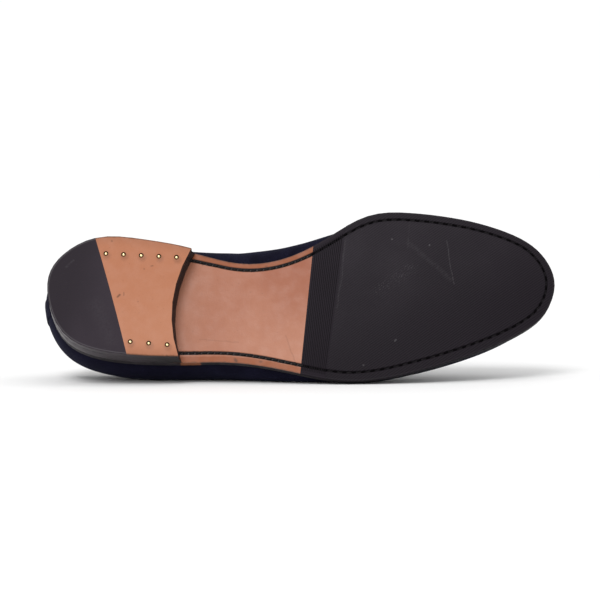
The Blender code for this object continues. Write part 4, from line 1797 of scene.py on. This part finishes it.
    def sorted_rim(self, rim: list[Vector]) -> np.ndarray:
        """A rim's points as a closed line with even steps, its stray points evened out by a median.

        Args:
            rim: The points, in any order.

        Returns:
            The line's points, one per row.
        """
        points = np.unique(np.round(np.array(rim), 3), axis=0)
        turn = np.arctan2(points[:, 1] - self.collar_middle[1], points[:, 0] - self.collar_middle[0])
        order = np.argsort(turn)
        places = np.linspace(-math.pi, math.pi, self.rim_points, endpoint=False)
        line = np.stack(
            [np.interp(places, turn[order], points[order, axis], period=2.0 * math.pi) for axis in range(3)],
            axis=1,
        )
        shifts = range(-self.rim_median, self.rim_median + 1)
        return np.median([np.roll(line, shift, axis=0) for shift in shifts], axis=0)

    def binding(self, outer: np.ndarray, inner: np.ndarray) -> None:
        """Folds a ribbon over the collar's edge.

        Args:
            outer: The rim's outer edge.
            inner: The rim's inner edge.
        """
        across = outer - inner
        across /= np.linalg.norm(across, axis=1, keepdims=True)
        along = np.roll(outer, -1, axis=0) - np.roll(outer, 1, axis=0)
        rise = np.cross(along, across)
        rise /= np.linalg.norm(rise, axis=1, keepdims=True)
        rise *= np.sign(rise[:, 2:3])
        rows = []
        for edge, sign in ((outer, 1.0), (inner, -1.0)):
            low = edge - rise * self.binding_drop
            on, normal = self.skin.nearest(low)
            rows.append([on + normal * self.binding_foot, on + normal * self.binding_proud])
            rows[-1].append(edge + across * sign * self.binding_proud + rise * self.binding_lift)
        crown = rise * (self.binding_proud + self.binding_crown)
        top = [outer + crown, inner + crown]
        loops = [*rows[0], *top, *rows[1][::-1]]
        mesh = ShoeMesh(self.shoe)
        grid = [[mesh.builder.verts.new(point) for point in loop] for loop in loops]
        count = len(outer)
        for low, high in zip(grid, grid[1:] + grid[:1]):
            for i in range(count):
                j = (i + 1) % count
                mesh.builder.faces.new((low[i], low[j], high[j], high[i]))
        bmesh.ops.recalc_face_normals(mesh.builder, faces=mesh.builder.faces)
        mesh.piece("collar_binding", (RIBBON,), Slot.NAP, sharp_deg=self.binding_deg)

    def strip(self) -> None:
        """Makes the strip over the back seam, with its upper end tucked under the binding."""
        mesh = ShoeMesh.of_node(self.shoe, "back_strip")
        points = mesh.points()
        on, _ = NodeSurface(self.shoe, "upper").nearest(points)
        share = self.strip_share * (1.0 - self.strip_tuck * smoothstep(points[:, 2], *self.tuck_z))
        mesh.move(on + (points - on) * share[:, None])
        mesh.ease(self.strip_round, self.ease_deg)
        mesh.piece("back_seam_strip", (NAVY,), Slot.NAP, ("back_strip",), sharp_deg=self.soft_deg)

    def sock(self) -> None:
        """Makes the sock that the foot stands on, with dark sides where the joint with the sole shows."""
        mesh = ShoeMesh.of_node(self.shoe, "insole")
        mesh.ease(self.sock_round, self.ease_deg)
        mesh.paint(lambda centre, normal: 0 if normal.z > self.sock_tilt else 1)
        mesh.piece("sock", (SOCK, EDGE_WAX), Slot.SOCK, ("insole",))


@dataclass
class Studio:
    """White floor, soft light and the camera."""

    shoe: ShoeFrame
    lean_deg: float = 15.0
    target: tuple[float, float, float] = (147.5, 0.0, 5.0)
    distance: float = 1400.0
    mm_per_pixel: float = 0.5807
    image_pixels: int = 600
    sensor_mm: float = 36.0
    floor_size: float = 60.0
    floor_color: Color = (0.73, 0.73, 0.73)
    floor_roughness: float = 0.9
    floor_specular: float = 0.1
    sun_from: tuple[float, float, float] = (-0.22, -0.75, 0.75)
    sun_strength: float = 2.0
    sun_angle_deg: float = 26.0
    fill_place: tuple[float, float, float] = (-0.1, -1.3, 0.25)
    fill_size: float = 0.9
    fill_watts: float = 4.0
    world_strength: float = 1.02
    clip_m: tuple[float, float] = (0.05, 200.0)

    def build(self) -> None:
        """Makes floor, world, lights and camera."""
        self.floor()
        self.world()
        self.sun("key_sun", self.sun_from, self.sun_strength)
        self.light("low_fill", self.fill_place, self.fill_size, self.fill_watts)
        self.camera()
        bpy.context.scene.view_settings.view_transform = "Standard"

    def floor(self) -> None:
        """A wide pale floor."""
        half = self.floor_size / 2.0
        mesh = bpy.data.meshes.new("floor")
        corners = [(-half, -half, 0), (half, -half, 0), (half, half, 0), (-half, half, 0)]
        mesh.from_pydata(corners, [], [(0, 1, 2, 3)])
        made = bpy.data.materials.new("pale_floor")
        made.use_nodes = True
        shader = made.node_tree.nodes["Principled BSDF"]
        shader.inputs["Base Color"].default_value = (*self.floor_color, 1.0)
        shader.inputs["Roughness"].default_value = self.floor_roughness
        shader.inputs["Specular IOR Level"].default_value = self.floor_specular
        mesh.materials.append(made)
        floor = bpy.data.objects.new("floor", mesh)
        bpy.context.scene.collection.objects.link(floor)

    def world(self) -> None:
        """Even white surroundings."""
        world = bpy.data.worlds.new("white_studio")
        world.use_nodes = True
        back = world.node_tree.nodes["Background"]
        back.inputs["Color"].default_value = (1.0, 1.0, 1.0, 1.0)
        back.inputs["Strength"].default_value = self.world_strength
        bpy.context.scene.world = world

    def light(self, name: str, place: Sequence[float], size: float, watts: float) -> None:
        """A square soft light that faces the shoe.

        Args:
            name: The light's name.
            place: Where it hangs, in row metres.
            size: Its side.
            watts: Its power.
        """
        data = bpy.data.lights.new(name, "AREA")
        data.shape = "SQUARE"
        data.size = size
        data.energy = watts
        made = bpy.data.objects.new(name, data)
        made.location = place
        made.rotation_euler = (-Vector(place)).to_track_quat("-Z", "Y").to_euler()
        bpy.context.scene.collection.objects.link(made)

    def sun(self, name: str, place: Sequence[float], strength: float) -> None:
        """A very wide soft light from far off.

        Args:
            name: The light's name.
            place: Direction that it comes from.
            strength: Its strength, in watts per square metre.
        """
        data = bpy.data.lights.new(name, "SUN")
        data.energy = strength
        data.angle = math.radians(self.sun_angle_deg)
        made = bpy.data.objects.new(name, data)
        made.rotation_euler = (-Vector(place)).to_track_quat("-Z", "Y").to_euler()
        bpy.context.scene.collection.objects.link(made)

    def camera(self) -> None:
        """The photo's angle to the sole: a little to the outer side of straight below it."""
        lean = math.radians(self.lean_deg)
        back = self.shoe.row_direction((0.0, math.sin(lean), -math.cos(lean)))
        right = self.shoe.row_direction((1.0, 0.0, 0.0))
        turn = Matrix((right, back.cross(right), back)).transposed().to_4x4()
        data = bpy.data.cameras.new("camera")
        data.sensor_width = self.sensor_mm
        data.lens = self.distance / self.mm_per_pixel * self.sensor_mm / self.image_pixels
        data.clip_start, data.clip_end = self.clip_m
        made = bpy.data.objects.new("camera", data)
        place = self.shoe.row_point(self.target) + back * self.distance * MM
        made.matrix_world = Matrix.Translation(place) @ turn
        bpy.context.scene.collection.objects.link(made)
        bpy.context.scene.camera = made


def main() -> None:
    """Builds the shoe's sub-assemblies and the studio."""
    logging.basicConfig(level=logging.INFO, format="%(name)s: %(message)s")
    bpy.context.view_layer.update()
    shoe = ShoeFrame.from_record(frame["record"])
    outline = SoleOutline(shoe)
    Studio(shoe).build()
    Sole(shoe, outline).build()
    Heel(shoe, outline).build()
    Upper(shoe).build()


if __name__ == "__main__":
    main()
